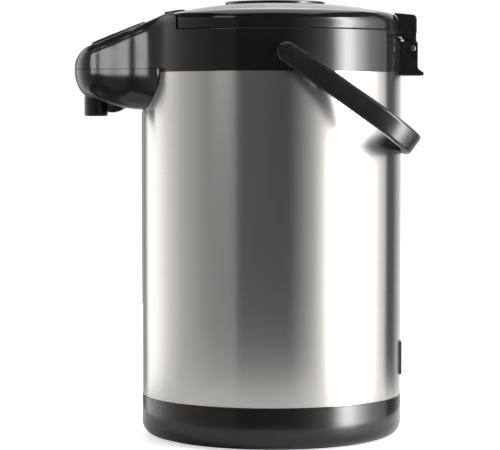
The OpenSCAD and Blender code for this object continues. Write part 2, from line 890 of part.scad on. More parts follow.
module hinge_bracket() {
    color("#131416")
        difference() {
            union() {
                // Rear part of the ring
                intersection() {
                    ring(ring_in_r, body_r, shoulder_z, seam_z - 5.1);
                    translate([-rear_half_w, 60, 0]) cube([2 * rear_half_w, 60, big]);
                }
                // Foot on the ledge
                intersection() {
                    translate([-20, 94.5, ledge_z]) cube([40, 10, 2.4]);
                    cylinder(r = body_r - 1, h = big, $fn = smooth);
                }
                // Block that holds the pin
                difference() {
                    side_extrude(
                        [
                            [98, shoulder_z - 2.5], [121.5, shoulder_z - 2.5], [122.3, shoulder_z - 1.6],
                            [122.3, shoulder_z - 0.4], [117.4, shoulder_z + 3.2], [117.4, 317.9],
                            [115.9, 319.6],
                            [98, 319.6]
                        ],
                        hinge_half_w
                    );
                    cylinder(r = ring_in_r, h = big, $fn = smooth);
                    cylinder(r = body_r + seam_gap, h = shoulder_z, $fn = smooth);
                }
            }
            // Channel for the lid's knuckle, open above and behind
            x_rod(7.2, -knuckle_half_w - 0.4, knuckle_half_w + 0.4, hinge_y, hinge_z, 64);
            translate([-knuckle_half_w - 0.4, hinge_y - 7.2, hinge_z - eps])
                cube([2 * knuckle_half_w + 0.8, 30, 30]);
            translate([-knuckle_half_w - 0.4, hinge_y, hinge_z - 7.2])
                cube([2 * knuckle_half_w + 0.8, 30, 30]);
            x_rod(hinge_pin_r, -40, 40, hinge_y, hinge_z);
        }
}

module hinge_pin() {
    color("#8b8d90") x_rod(hinge_pin_r, -hinge_half_w, hinge_half_w, hinge_y, hinge_z);
}

module bail_studs() {
    color("#2a2b2e")
        for (s = [-1, 1])
            scale([s, 1, 1]) {
                x_rod(6, 97.5, 105.4, bail_y, bail_z);
                x_rod(stud_r, 105.3, 114.5, bail_y, bail_z);
            }
}

module bail() {
    corner_out = 42;
    corner_in = 34;
    color("#1a1b1d")
        difference() {
            translate([0, bail_y, bail_z])
                rotate([-bail_drop, 0, 0])
                    difference() {
                        intersection() {
                            // The U seen from above
                            translate([0, 0, -20])
                                linear_extrude(40)
                                    difference() {
                                        bowed_outline(bail_half_w, bail_reach, corner_out, 1185);
                                        translate([0, -20])
                                            bail_outline(bail_inner_half_w, bail_inner_reach + 20, corner_in);
                                    }
                            // The arm seen from the side, round at the hub
                            translate([-150, 0, 0])
                                rotate([90, 0, 90])
                                    linear_extrude(300) {
                                        circle(r = 8, $fn = 64);
                                        polygon([
                                            [0, -7.7], [92, -7.7], [116, -8.9], [bail_reach - 1.6, -9.2],
                                            [bail_reach, -7.8], [bail_reach, 5.6], [bail_reach - 2.8, 8.2],
                                            [100, 9.1], [45, 9.3], [12, 8.6], [0, 8]
                                        ]);
                                    }
                        }
                        for (s = [-1, 1])
                            scale([s, 1, 1]) x_rod(stud_r + run_gap, 100, 115, 0, 0);
                    }
            // The grip's inside follows the jacket when the bail is lowered
            cylinder(r = body_r + 0.6, h = shoulder_z, $fn = 180);
        }
}

// Flat outline with two round corners at its far end
module bail_outline(w, reach, r) {
    translate([-w, -12]) square([2 * w, reach + 12 - r]);
    translate([-w + r, 0]) square([2 * w - 2 * r, reach]);
    for (s = [-1, 1])
        translate([s * (w - r), reach - r]) circle(r = r, $fn = smooth);
}

// The same with its far end bowed outwards, tangent to its corners
module bowed_outline(w, reach, r, bow_r) {
    corner_x = w - r;
    corner_y = reach - bow_r + sqrt(pow(bow_r - r, 2) - pow(corner_x, 2));
    end_x = corner_x * bow_r / (bow_r - r);
    bail_outline(w, corner_y + r, r);
    polygon(concat(
        [[-end_x, corner_y]],
        [for (i = [-12:12]) let (x = end_x * i / 12) [x, reach - bow_r + sqrt(bow_r * bow_r - x * x)]],
        [[end_x, corner_y]]
    ));
}

// ---------- Lid ----------

boss_points = [[66, 61.2], [-66, 61.2], [76.5, -47.4], [-76.5, -47.4]];
vent_y = 68;
flange_z = seam_z - 2.2;
flange_top_z = seam_z + seam_gap;

module lid_shell() {
    color("#0b0c0e")
        difference() {
            union() {
                difference() {
                    lid_form(0, flange_top_z);
                    lid_form(wall, flange_top_z - 1);
                }
                // Well of the push plate
                intersection() {
                    translate([0, plate_y, 0]) ring(plate_r + 0.4, plate_r + 2.9, 333, big);
                    lid_form(1, flange_top_z);
                }
                // Bosses for the lid screws
                intersection() {
                    for (p = boss_points)
                        translate([p[0], p[1], flange_top_z]) cylinder(r = 4, h = 60, $fn = 32);
                    lid_form(1, flange_top_z);
                }
                // Rear tab, which reaches down before the hinge bracket
                intersection() {
                    ring(lid_r - 3, lid_r, seam_z - 4.6, flange_top_z + 1);
                    translate([-rear_half_w + 0.6, 60, 0]) cube([2 * rear_half_w - 1.2, 60, big]);
                }
            }
            translate([0, plate_y, 0]) cylinder(r = plate_r + 0.4, h = big, $fn = smooth);
            // Slot for the latch stem and window for its bolt
            translate([-11.5, -83.5, seam_z + 8]) cube([23, 12, 60]);
            translate([-9.5, -90, seam_z + 1.6]) cube([19, 12, 5.4]);
            translate([0, vent_y, 0]) cylinder(r = 9.2, h = big, $fn = 48);
            for (p = boss_points)
                translate([p[0], p[1], 0]) cylinder(r = 1.5, h = seam_z + 10, $fn = 24);
        }
}

module lid_hinge_block() {
    color("#101113")
        difference() {
            union() {
                difference() {
                    side_extrude(
                        [
                            [92, 326], [116.6, 326], [116.6, 337.2], [115.2, 339.8], [112.8, 341.2],
                            [110, 341.5], [92, 342.8]
                        ],
                        hinge_half_w
                    );
                    lid_form(0, 300);
                }
                // Lower part, set back from the sides
                difference() {
                    side_extrude(
                        [
                            [98, 323], [105.6, 323], [105.6, 321.2], [115.8, 321.2], [115.8, 326.1], [98, 326.1]
                        ],
                        hinge_half_w - 1
                    );
                    lid_form(0, 300);
                }
                side_extrude(
                    [
                        [hinge_y - 6.4, hinge_z], [hinge_y + 3.4, hinge_z], [hinge_y + 3.4, 326.1],
                        [hinge_y - 6.4, 326.1]
                    ],
                    knuckle_half_w
                );
                x_rod(6.6, -knuckle_half_w, knuckle_half_w, hinge_y, hinge_z, 64);
            }
            x_rod(hinge_pin_r + run_gap, -40, 40, hinge_y, hinge_z);
        }
}

module inner_lid() {
    color("#c4c4c2")
        difference() {
            intersection() {
                rotate_extrude($fn = smooth)
                    polygon([
                        [0, 315], [plug_r, 315], [plug_r, flange_z], [80.2, flange_z], [80.2, 322], [82, 322],
                        [82, flange_z], [98.8, flange_z], [98.8, flange_top_z], [plug_r - 2.5, flange_top_z],
                        [plug_r - 2.5, bellows_z], [0, bellows_z]
                    ]);
                translate([0, front_y, 300]) cylinder(r = front_r - 1, h = 60, $fn = 360);
            }
            translate([0, plate_y, 300]) cylinder(r = 5, h = 60, $fn = 48);
            for (p = boss_points)
                translate([p[0], p[1], 300]) cylinder(r = 1.8, h = 60, $fn = 24);
        }
}

module lid_gasket() {
    color("#d8d4cc") ring(plug_r, 80, deck_z + 0.3, flange_z);
}

module lid_screws() {
    color("silver")
        for (p = boss_points)
            translate([p[0], p[1], 0]) {
                translate([0, 0, flange_z - 2]) cylinder(r = 3, h = 2, $fn = 32);
                translate([0, 0, flange_z - 0.1]) cylinder(r = 1.45, h = 10, $fn = 24);
            }
}

module bellows() {
    folds = 6;
    pitch = (bellows_h - 2) / folds;
    color("#6d6f72")
        translate([0, plate_y, bellows_z])
            rotate_extrude($fn = smooth)
                polygon(concat(
                    [[24, 0], [31, 0], [31, 1]],
                    [
                        for (i = [0:folds - 1], k = [0:1])
                        [k == 0 ? 26.5 : 31, 1 + pitch * (i + 0.5 * (k + 1))]
                    ],
                    [[31, bellows_h], [24, bellows_h], [24, bellows_h - 1]],
                    [
                        for (i = [folds - 1:-1:0], k = [0:1])
                        [k == 0 ? 24.6 : 29, 1 + pitch * (i + 0.5 * (1 - k))]
                    ]
                ));
}

// Coil of the pump's return spring
module pump_spring() {
    wire_r = 0.8;
    coil_r = 16;
    turns = 6;
    steps = 12;
    sides = 6;
    z0 = bellows_z + wire_r;
    rise = lid_top_z - 2.4 - bellows_z - 2 * wire_r;
    rings = turns * steps;
    points = [
        for (i = [0:rings], k = [0:sides - 1])
        let (a = 360 * i / steps, b = 360 * k / sides, r = coil_r + wire_r * cos(b))
        [r * cos(a), r * sin(a), z0 + rise * i / rings + wire_r * sin(b)]
    ];
    side_faces = [
        for (i = [0:rings - 1], k = [0:sides - 1], half = [0:1])
        let (
            a = i * sides + k,
            b = i * sides + (k + 1) % sides,
            c = a + sides,
            d = b + sides
        )
        half == 0 ? [a, b, c] : [b, d, c]
    ];
    end_faces = [
        for (k = [1:sides - 2], end = [0:1])
        end == 0 ? [0, k + 1, k] : [rings * sides, rings * sides + k, rings * sides + k + 1]
    ];
    color("silver")
        translate([0, plate_y, 0])
            polyhedron(points = points, faces = concat(side_faces, end_faces));
}

module air_valve() {
    color("#b8b2a6")
        translate([0, plate_y, 0])
            union() {
                translate([0, 0, 311]) cylinder(r = 8, h = 4, $fn = 48);
                translate([0, 0, 314.9]) cylinder(r = 4.9, h = 2.2, $fn = 48);
                translate([0, 0, bellows_z]) cylinder(r = 8, h = 1.2, $fn = 48);
            }
}

module steam_vent() {
    color("#17181a")
        difference() {
            intersection() {
                translate([0, vent_y, 340]) cylinder(r = 9, h = 20, $fn = 48);
                lid_form(-0.4, 300);
            }
            for (x = [-5:2.5:5])
                translate([x - 0.6, vent_y - 5, 330]) cube([1.2, 10, 40]);
        }
}

module push_plate() {
    top_z = lid_top_z + 1.1;
    rim_z = top_z - 1.2;
    color("#0e0f11")
        translate([0, plate_y, 0])
            rotate_extrude($fn = smooth)
                polygon(concat(
                    [
                        [0, top_z - 3], [24, top_z - 3.4], [24, bellows_z + bellows_h],
                        [31, bellows_z + bellows_h],
                        [31, top_z - 3.6], [plate_r - 2.4, top_z - 3.8], [plate_r - 2.4, 339], [plate_r, 339],
                        [plate_r, rim_z - 0.8], [plate_r - 0.8, rim_z]
                    ],
                    [for (r = [30, 20, 10]) [r, top_z - 1.2 * pow(r / plate_r, 2)]],
                    [[0, top_z]]
                ));
}

module latch_slide() {
    // Height of the lid's front slope at a given y
    function front_z(y) = slope_line(-38) + (y + 38) * tan(lid_slope);
    color("#0f1012")
        union() {
            // Thumb tab over the lid's front edge
            side_extrude(
                [
                    [-86.5, front_z(-86.5) + 0.5], [-70, front_z(-70) + 0.5], [-70, front_z(-70) + 0.9],
                    [-76, front_z(-76) + 1.7], [-85.8, front_z(-85.8) + 1.9], [-86.5, front_z(-86.5) + 1.3]
                ],
                18
            );
            side_extrude(
                [
                    [-82, seam_z + 5], [-76.5, seam_z + 5], [-76.5, front_z(-76.5) + 0.6],
                    [-82, front_z(-82) + 0.6]
                ],
                10.5
            );
            side_extrude(
                [
                    [-85.6, seam_z + 2.2], [-66, seam_z + 2.2], [-66, seam_z + 5.8], [-82, seam_z + 5.8],
                    [-85.6, seam_z + 3.8]
                ],
                9
            );
        }
}

foot_ring();
base_ring();
bottom_cover();
bottom_screws();
chassis_plate();
steel_jacket();
level_window();
window_frame();
inlet_socket();
inlet_pins();
inner_pot();
pot_gasket();
mouth_ring();
heating_plate();
band_heater();
thermostat();
pump_body();
pump_motor();
suction_sleeve();
riser_elbow();
level_tube();
outlet_tube();
power_board();
head_frame();
lower_beak_cover();
beak_screws();
nozzle();
lever_pin();
control_panel();
control_board();
indicator_lenses();
hinge_bracket();
hinge_pin();
bail_studs();
pump_impeller();
motor_magnet();
cup_lever();
dispense_button();
reboil_button();
unlock_button();
lid_shell();
lid_hinge_block();
inner_lid();
lid_gasket();
lid_screws();
bellows();
pump_spring();
air_valve();
steam_vent();
push_plate();
latch_slide();
bail();
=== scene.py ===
"""Looks of an electric thermo pot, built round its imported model.

The pot stands on Z = 0 with its axis on X = Y = 0 and its beak towards -Y. Sizes in the
sub-assemblies are in millimetres, as a drawing has them, and a finished mesh is in metres.
"""

import json
import logging
import math
from dataclasses import dataclass
from enum import Enum
from typing import Callable, Sequence

import bmesh
import bpy
from mathutils import Matrix, Vector


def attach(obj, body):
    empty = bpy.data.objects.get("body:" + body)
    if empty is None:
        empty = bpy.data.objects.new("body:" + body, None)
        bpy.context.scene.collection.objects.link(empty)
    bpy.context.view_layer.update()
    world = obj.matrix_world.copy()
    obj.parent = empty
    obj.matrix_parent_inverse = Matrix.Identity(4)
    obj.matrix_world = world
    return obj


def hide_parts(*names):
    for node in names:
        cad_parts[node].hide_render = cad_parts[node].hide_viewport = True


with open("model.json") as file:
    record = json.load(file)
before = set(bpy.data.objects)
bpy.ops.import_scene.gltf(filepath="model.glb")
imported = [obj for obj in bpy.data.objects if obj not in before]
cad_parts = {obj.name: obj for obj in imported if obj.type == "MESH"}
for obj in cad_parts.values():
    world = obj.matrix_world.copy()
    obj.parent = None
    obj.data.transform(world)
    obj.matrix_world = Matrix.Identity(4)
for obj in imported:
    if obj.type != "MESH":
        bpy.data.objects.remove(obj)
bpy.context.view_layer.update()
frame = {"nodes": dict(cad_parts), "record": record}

LOG = logging.getLogger("thermo_pot")
MM = 0.001
Point = tuple[float, float]
Corner = tuple[float, float, float]
FACING_FRONT = Matrix.Rotation(math.pi / 2, 4, "X")  # stands a plan upright, with its top to the front
SQUARE_EDGES = 60  # degrees; a bevel from this angle on leaves the facets of round forms alone


class Body(Enum):
    """The moving bodies of the pot."""

    POT = "body"
    LID = "lid"
    PLATE = "push_plate"
    LATCH = "latch_slide"
    BAIL = "bail"
    LEVER = "cup_lever"
    DISPENSE = "dispense_button"
    REBOIL = "reboil_button"
    UNLOCK = "unlock_button"


class Cut(Enum):
    """How a second solid changes the first."""

    AWAY = "DIFFERENCE"
    COMMON = "INTERSECT"
    JOIN = "UNION"


class Along(Enum):
    """The axis along which a prism is drawn out, as a turn of its outline's plane."""

    X = Matrix(((0, 0, 1), (1, 0, 0), (0, 1, 0))).to_4x4()
    Z = Matrix.Identity(4)


# ---------------------------------------------------------------------------------------------
# Drawing helpers
# ---------------------------------------------------------------------------------------------


def rounded(corners: Sequence[Corner], steps: int = 6, closed: bool = True) -> list[Point]:
    """Rounds the corners of an outline.

    Args:
        corners: Points with a rounding radius each, as (x, y, radius).
        steps: Points on each rounded corner, less one.
        closed: Whether the outline runs back to its first point.

    Returns:
        The outline's points in order.
    """
    made: list[Point] = []
    count = len(corners)
    for i, (x, y, radius) in enumerate(corners):
        here = Vector((x, y))
        if radius <= 0 or (not closed and i in (0, count - 1)):
            made.append((x, y))
            continue
        before = Vector(corners[i - 1][:2]) - here
        after = Vector(corners[(i + 1) % count][:2]) - here
        half = before.angle(after) / 2
        reach = radius / math.tan(half)
        start, end = here + before.normalized() * reach, here + after.normalized() * reach
        middle = here + (before.normalized() + after.normalized()).normalized() * (radius / math.sin(half))
        a, b = start - middle, end - middle
        turn = a.angle_signed(b)
        for k in range(steps + 1):
            # angle_signed is clockwise, so the turn is taken the other way
            spoke = Matrix.Rotation(-turn * k / steps, 2) @ a
            made.append((middle.x + spoke.x, middle.y + spoke.y))
    return made


def arc(cx: float, cy: float, radius: float, start: float, end: float, steps: int) -> list[Point]:
    """Points on an arc, with its angles in degrees."""
    turns = [math.radians(start + (end - start) * k / steps) for k in range(steps + 1)]
    return [(cx + radius * math.cos(t), cy + radius * math.sin(t)) for t in turns]


def spread(low: float, high: float, count: int) -> list[float]:
    """Evenly spaced numbers from low to high, both included."""
    return [low + (high - low) * k / (count - 1) for k in range(count)]


def rectangle(half_x: float, half_y: float, radius: float, x: float = 0, y: float = 0) -> list[Corner]:
    """Corners of a rectangle round a middle point, each with the same rounding radius."""
    return [(x + a * half_x, y + b * half_y, radius) for a, b in ((-1, -1), (1, -1), (1, 1), (-1, 1))]


def placed(name: str, data: bpy.types.ID) -> bpy.types.Object:
    """Makes an object of some data and puts it into the scene."""
    made = bpy.data.objects.new(name, data)
    bpy.context.scene.collection.objects.link(made)
    return made


def evaluated(holder: bpy.types.Object) -> bmesh.types.BMesh:
    """The mesh of an object with its modifiers applied, or of a text curve."""
    result = holder.evaluated_get(bpy.context.evaluated_depsgraph_get())
    fresh = bmesh.new()
    fresh.from_mesh(result.to_mesh())
    result.to_mesh_clear()
    return fresh


def spin(bm: bmesh.types.BMesh, geometry: list, steps: int) -> None:
    """Spins points and edges once round the vertical axis and merges the seam."""
    bmesh.ops.spin(
        bm, geom=geometry, cent=(0, 0, 0), axis=(0, 0, 1), angle=math.tau, steps=steps, use_merge=True
    )


class Shape:
    """A solid in the making, in millimetres, around a bmesh."""

    def __init__(self, bm: bmesh.types.BMesh | None = None) -> None:
        """Starts empty, or from a mesh that is already there."""
        self.bm = bm or bmesh.new()

    @classmethod
    def revolve(cls, profile: Sequence[Point], steps: int = 180, closed: bool = True) -> "Shape":
        """Spins a profile once round the vertical axis.

        Args:
            profile: Points as (radius, height), in order.
            steps: Facets round the axis.
            closed: Whether the profile is a loop. If not, it starts and ends on the axis.

        Returns:
            The closed solid of revolution.
        """
        shape = cls()
        verts = [shape.bm.verts.new((r, 0, z)) for r, z in profile]
        pairs = zip(verts, verts[1:] + verts[:1]) if closed else zip(verts, verts[1:])
        edges = [shape.bm.edges.new(pair) for pair in pairs]
        spin(shape.bm, verts + edges, steps)
        return shape.clean()

    @classmethod
    def tube(cls, inner: float, outer: float, low: float, high: float, steps: int = 180) -> "Shape":
        """A straight round wall on the vertical axis."""
        return cls.revolve([(inner, low), (outer, low), (outer, high), (inner, high)], steps)

    @classmethod
    def prism(cls, outline: Sequence[Point], low: float, high: float, along: Along = Along.Z) -> "Shape":
        """Draws an outline out along an axis.

        Args:
            outline: The outline's points, as (x, y) along Z or (y, z) along X.
            low: Where the prism starts on the axis.
            high: Where it ends.
            along: The axis.

        Returns:
            The closed prism.
        """
        shape = cls()
        face = shape.bm.faces.new([shape.bm.verts.new((x, y, low)) for x, y in outline])
        made = bmesh.ops.extrude_face_region(shape.bm, geom=[face])["geom"]
        far = [v for v in made if isinstance(v, bmesh.types.BMVert)]
        bmesh.ops.translate(shape.bm, verts=far, vec=(0, 0, high - low))
        bmesh.ops.transform(shape.bm, matrix=along.value, verts=shape.bm.verts)
        return shape.clean()

    @classmethod
    def rod(cls, radius: float, start: Sequence[float], end: Sequence[float], sides: int = 48) -> "Shape":
        """A round rod between two points."""
        shape = cls()
        a, b = Vector(start), Vector(end)
        turn = (b - a).to_track_quat("Z", "Y").to_matrix().to_4x4()
        bmesh.ops.create_cone(
            shape.bm, cap_ends=True, segments=sides, radius1=radius, radius2=radius, depth=(b - a).length,
            matrix=Matrix.Translation((a + b) / 2) @ turn,
        )
        return shape

    @classmethod
    def post(
        cls, radius: float, low: float, high: float, x: float = 0, y: float = 0, sides: int = 48
    ) -> "Shape":
        """An upright round rod between two heights, for holes and pegs."""
        return cls.rod(radius, (x, y, low), (x, y, high), sides)

    @classmethod
    def block(cls, low: Sequence[float], high: Sequence[float]) -> "Shape":
        """A plain block between two corners, for cutting and for small parts."""
        shape = cls()
        a, b = Vector(low), Vector(high)
        scale = Matrix.Diagonal((*(b - a), 1))
        bmesh.ops.create_cube(shape.bm, size=1, matrix=Matrix.Translation((a + b) / 2) @ scale)
        return shape

    @classmethod
    def loft(cls, stations: int, sides: int, place: Callable[[int, int], Sequence[float]]) -> "Shape":
        """A tube of sections, closed at both ends.

        A straight tube is spun first, and its points are then moved to where the sections have them.

        Args:
            stations: Sections along the tube.
            sides: Points in each section.
            place: Gives the place of a point from its station and its number in the section.

        Returns:
            The closed loft.
        """
        shape = cls()
        verts = [shape.bm.verts.new((1, 0, i)) for i in range(stations)]
        edges = [shape.bm.edges.new(pair) for pair in zip(verts, verts[1:])]
        spin(shape.bm, verts + edges, sides)
        bmesh.ops.remove_doubles(shape.bm, verts=shape.bm.verts, dist=1e-4)
        for vert in shape.bm.verts:
            turn = math.atan2(vert.co.y, vert.co.x) % math.tau
            vert.co = place(round(vert.co.z), round(turn * sides / math.tau) % sides)
        bmesh.ops.holes_fill(shape.bm, edges=shape.bm.edges, sides=0)
        return shape.clean()

    def clean(self) -> "Shape":
        """Merges doubles and turns all faces outwards."""
        bmesh.ops.remove_doubles(self.bm, verts=self.bm.verts, dist=1e-4)
        bmesh.ops.recalc_face_normals(self.bm, faces=self.bm.faces)
        return self

    def move(self, matrix: Matrix) -> "Shape":
        """Moves or turns the whole solid."""
        bmesh.ops.transform(self.bm, matrix=matrix, verts=self.bm.verts)
        if matrix.determinant() < 0:
            bmesh.ops.reverse_faces(self.bm, faces=self.bm.faces)
        return self

    def shift(self, x: float = 0, y: float = 0, z: float = 0) -> "Shape":
        """Moves the whole solid along the axes."""
        return self.move(Matrix.Translation((x, y, z)))

    def bevel(self, width: float, segments: int = 3, angle: float = 40) -> "Shape":
        """Rounds the edges whose faces turn by more than an angle in degrees."""
        limit = math.radians(angle)
        edges = [e for e in self.bm.edges if len(e.link_faces) == 2 and e.calc_face_angle(0) > limit]
        bmesh.ops.bevel(
            self.bm, geom=edges, offset=width, segments=segments, affect="EDGES", profile=0.5, material=-1,
            clamp_overlap=True,
        )
        return self

    def add(self, *others: "Shape") -> "Shape":
        """Takes other solids in as separate shells of the same piece."""
        for other in others:
            carrier = bpy.data.meshes.new("carrier")
            other.bm.to_mesh(carrier)
            self.bm.from_mesh(carrier)
            bpy.data.meshes.remove(carrier)
        return self

    def cut(self, other: "Shape", how: Cut = Cut.AWAY) -> "Shape":
        """Combines this solid with another by a boolean.

        Args:
            other: The second solid.
            how: Whether it is cut away, joined, or only what both share stays.

        Returns:
            This shape, changed.
        """
        holders = []
        for shape in (self, other):
            mesh = bpy.data.meshes.new("carrier")
            shape.bm.to_mesh(mesh)
            holders.append(placed("carrier", mesh))
        change = holders[0].modifiers.new("cut", "BOOLEAN")
        change.operation, change.object, change.solver = how.value, holders[1], "EXACT"
        fresh = evaluated(holders[0])
        for holder in holders:
            mesh = holder.data
            bpy.data.objects.remove(holder)
            bpy.data.meshes.remove(mesh)
        self.bm.free()
        self.bm = fresh
        return self


# ---------------------------------------------------------------------------------------------
# Finishes
# ---------------------------------------------------------------------------------------------


def math_node(
    tree: bpy.types.NodeTree, operation: str, *values: bpy.types.NodeSocket | float
) -> bpy.types.NodeSocket:
    """Adds a Math node to a tree.

    Args:
        tree: The node tree.
        operation: The node's operation.
        values: What goes into it, each a socket or a plain number.

    Returns:
        The node's result.
    """
    node = tree.nodes.new("ShaderNodeMath")
    node.operation = operation
    for socket, value in zip(node.inputs, values):
        if isinstance(value, bpy.types.NodeSocket):
            tree.links.new(value, socket)
        else:
            socket.default_value = value
    return node.outputs[0]


def range_node(
    tree: bpy.types.NodeTree, value: bpy.types.NodeSocket, *limits: float
) -> bpy.types.NodeSocket:
    """Maps a value from one range onto another.

    Args:
        tree: The node tree.
        value: The socket that is mapped.
        limits: Low and high end of the first range, then of the second.

    Returns:
        The mapped value.
    """
    node = tree.nodes.new("ShaderNodeMapRange")
    for socket, number in zip(node.inputs[1:5], limits):
        socket.default_value = number
    tree.links.new(value, node.inputs["Value"])
    return node.outputs["Result"]


class NodeSheet:
    """A material's node tree, with short ways to fill it."""

    def __init__(self, name: str) -> None:
        """Makes the material with its shader and the object's own coordinates."""
        self.material = bpy.data.materials.new(name)
        self.material.use_nodes = True
        self.tree = self.material.node_tree
        self.shader = self.tree.nodes["Principled BSDF"]
        self.place = self.tree.nodes.new("ShaderNodeTexCoord").outputs["Object"]

    def set(self, **values: object) -> None:
        """Sets sockets of the shader, with _ for the spaces in their names."""
        for key, value in values.items():
            self.shader.inputs[key.replace("_", " ")].default_value = value

    def stretch(self, x: float, y: float, z: float) -> bpy.types.NodeSocket:
        """Coordinates scaled along the axes, for grain that runs one way."""
        node = self.tree.nodes.new("ShaderNodeMapping")
        node.inputs["Scale"].default_value = (x, y, z)
        self.tree.links.new(self.place, node.inputs["Vector"])
        return node.outputs["Vector"]

    def noise(
        self, scale: float, detail: float = 3, vector: bpy.types.NodeSocket | None = None
    ) -> bpy.types.NodeSocket:
        """A noise pattern from 0 to 1."""
        node = self.tree.nodes.new("ShaderNodeTexNoise")
        node.inputs["Scale"].default_value, node.inputs["Detail"].default_value = scale, detail
        self.tree.links.new(vector or self.place, node.inputs["Vector"])
        return node.outputs["Fac"]

    def ramp(
        self, value: bpy.types.NodeSocket, stops: Sequence[tuple[float, Sequence[float]]]
    ) -> bpy.types.NodeSocket:
        """Colours along a value, as (position, colour)."""
        node = self.tree.nodes.new("ShaderNodeValToRGB")
        while len(node.color_ramp.elements) < len(stops):
            node.color_ramp.elements.new(0.5)
        for element, (position, colour) in zip(node.color_ramp.elements, stops):
            element.position, element.color = position, (*colour[:3], 1)
        self.tree.links.new(value, node.inputs["Fac"])
        return node.outputs["Color"]

    def span(self, value: bpy.types.NodeSocket, low: float, high: float) -> bpy.types.NodeSocket:
        """Maps the middle of a noise pattern onto a range of numbers."""
        return range_node(self.tree, value, 0.3, 0.7, low, high)

    def feed(self, socket: str, value: bpy.types.NodeSocket) -> None:
        """Links a pattern to one of the shader's sockets."""
        self.tree.links.new(value, self.shader.inputs[socket])

    def bump(self, height: bpy.types.NodeSocket, depth: float, strength: float = 1.0) -> None:
        """Turns a pattern into surface relief, with its depth in metres."""
        node = self.tree.nodes.new("ShaderNodeBump")
        node.inputs["Distance"].default_value, node.inputs["Strength"].default_value = depth, strength
        before = self.shader.inputs["Normal"]
        if before.links:
            self.tree.links.new(before.links[0].from_socket, node.inputs["Normal"])
        self.tree.links.new(height, node.inputs["Height"])
        self.tree.links.new(node.outputs["Normal"], before)


def shade(colour: Sequence[float], factor: float) -> tuple[float, ...]:
    """A colour made lighter or darker by a factor."""
    return tuple(min(1.0, c * factor) for c in colour[:3])


@dataclass(frozen=True)
class Plastic:
    """Moulded plastic, from polished to grained."""

    name: str
    colour: tuple[float, float, float]
    roughness: float
    grain: float = 900
    depth: float = 0.00002

    def material(self) -> bpy.types.Material:
        """Builds the finish: faint colour drift, uneven sheen and moulded grain."""
        sheet = NodeSheet(self.name)
        sheet.set(IOR=1.5)
        tones = [(0.35, shade(self.colour, 0.82)), (0.65, shade(self.colour, 1.2))]
        sheet.feed("Base Color", sheet.ramp(sheet.noise(14, 4), tones))
        sheet.feed("Roughness", sheet.span(sheet.noise(38, 5), self.roughness * 0.82, self.roughness * 1.22))
        sheet.bump(sheet.noise(self.grain, 2), self.depth)
        return sheet.material


@dataclass(frozen=True)
class BrushedMetal:
    """Sheet metal with the fine lines that brushing leaves."""

    name: str
    colour: tuple[float, float, float]
    roughness: float
    lines: tuple[float, float, float]
    stretch: float = 0.0
    depth: float = 0.000004
    contrast: float = 1.0

    def material(self) -> bpy.types.Material:
        """Builds the finish: lines in colour, sheen and relief, on a slow drift of tone."""
        sheet = NodeSheet(self.name)
        sheet.set(Metallic=1.0, Anisotropic=self.stretch, Anisotropic_Rotation=0.25 if self.stretch else 0.0)
        fine = sheet.noise(1, 6, sheet.stretch(*self.lines))
        broad = sheet.noise(1, 3, sheet.stretch(*(s * 0.22 for s in self.lines)))
        coarse = math_node(sheet.tree, "MULTIPLY", broad, 0.4)
        lines = math_node(sheet.tree, "MULTIPLY_ADD", fine, 0.6, coarse)
        dull = shade(self.colour, 1 - 0.14 * self.contrast)
        bright = shade(self.colour, 1 + 0.08 * self.contrast)
        sheet.feed("Base Color", sheet.ramp(lines, [(0.3, dull), (0.7, bright)]))
        low, high = self.roughness * (1 - 0.15 * self.contrast), self.roughness * (1 + 0.2 * self.contrast)
        sheet.feed("Roughness", sheet.span(lines, low, high))
        sheet.bump(lines, self.depth)
        return sheet.material


@dataclass(frozen=True)
class Rubber:
    """Rubber or silicone, with a soft dusty sheen."""

    name: str
    colour: tuple[float, float, float]
    roughness: float = 0.7
    glow: float = 0.0

    def material(self) -> bpy.types.Material:
        """Builds the finish: a matt, slightly mottled skin."""
        sheet = NodeSheet(self.name)
        sheet.set(Subsurface_Weight=self.glow, Subsurface_Scale=0.004, Sheen_Weight=0.15)
        mottle = sheet.noise(160, 5)
        tones = [(0.3, shade(self.colour, 0.75)), (0.7, shade(self.colour, 1.25))]
        sheet.feed("Base Color", sheet.ramp(mottle, tones))
        sheet.feed("Roughness", sheet.span(mottle, self.roughness * 0.9, min(1.0, self.roughness * 1.1)))
        sheet.bump(sheet.noise(700, 3), 0.00004)
        return sheet.material


@dataclass(frozen=True)
class ClearPlastic:
    """Transparent plastic with fine scratches."""

    name: str
    colour: tuple[float, float, float]
    roughness: float = 0.06

    def material(self) -> bpy.types.Material:
        """Builds the finish: clear, with sheen that varies a little."""
        sheet = NodeSheet(self.name)
        sheet.set(Transmission_Weight=0.92, IOR=1.45)
        haze = sheet.noise(60, 6)
        sheet.feed("Base Color", sheet.ramp(haze, [(0.3, shade(self.colour, 0.95)), (0.7, self.colour)]))
        sheet.feed("Roughness", sheet.span(haze, self.roughness * 0.6, self.roughness * 1.8))
        sheet.bump(sheet.noise(300, 2), 0.000004)
        return sheet.material


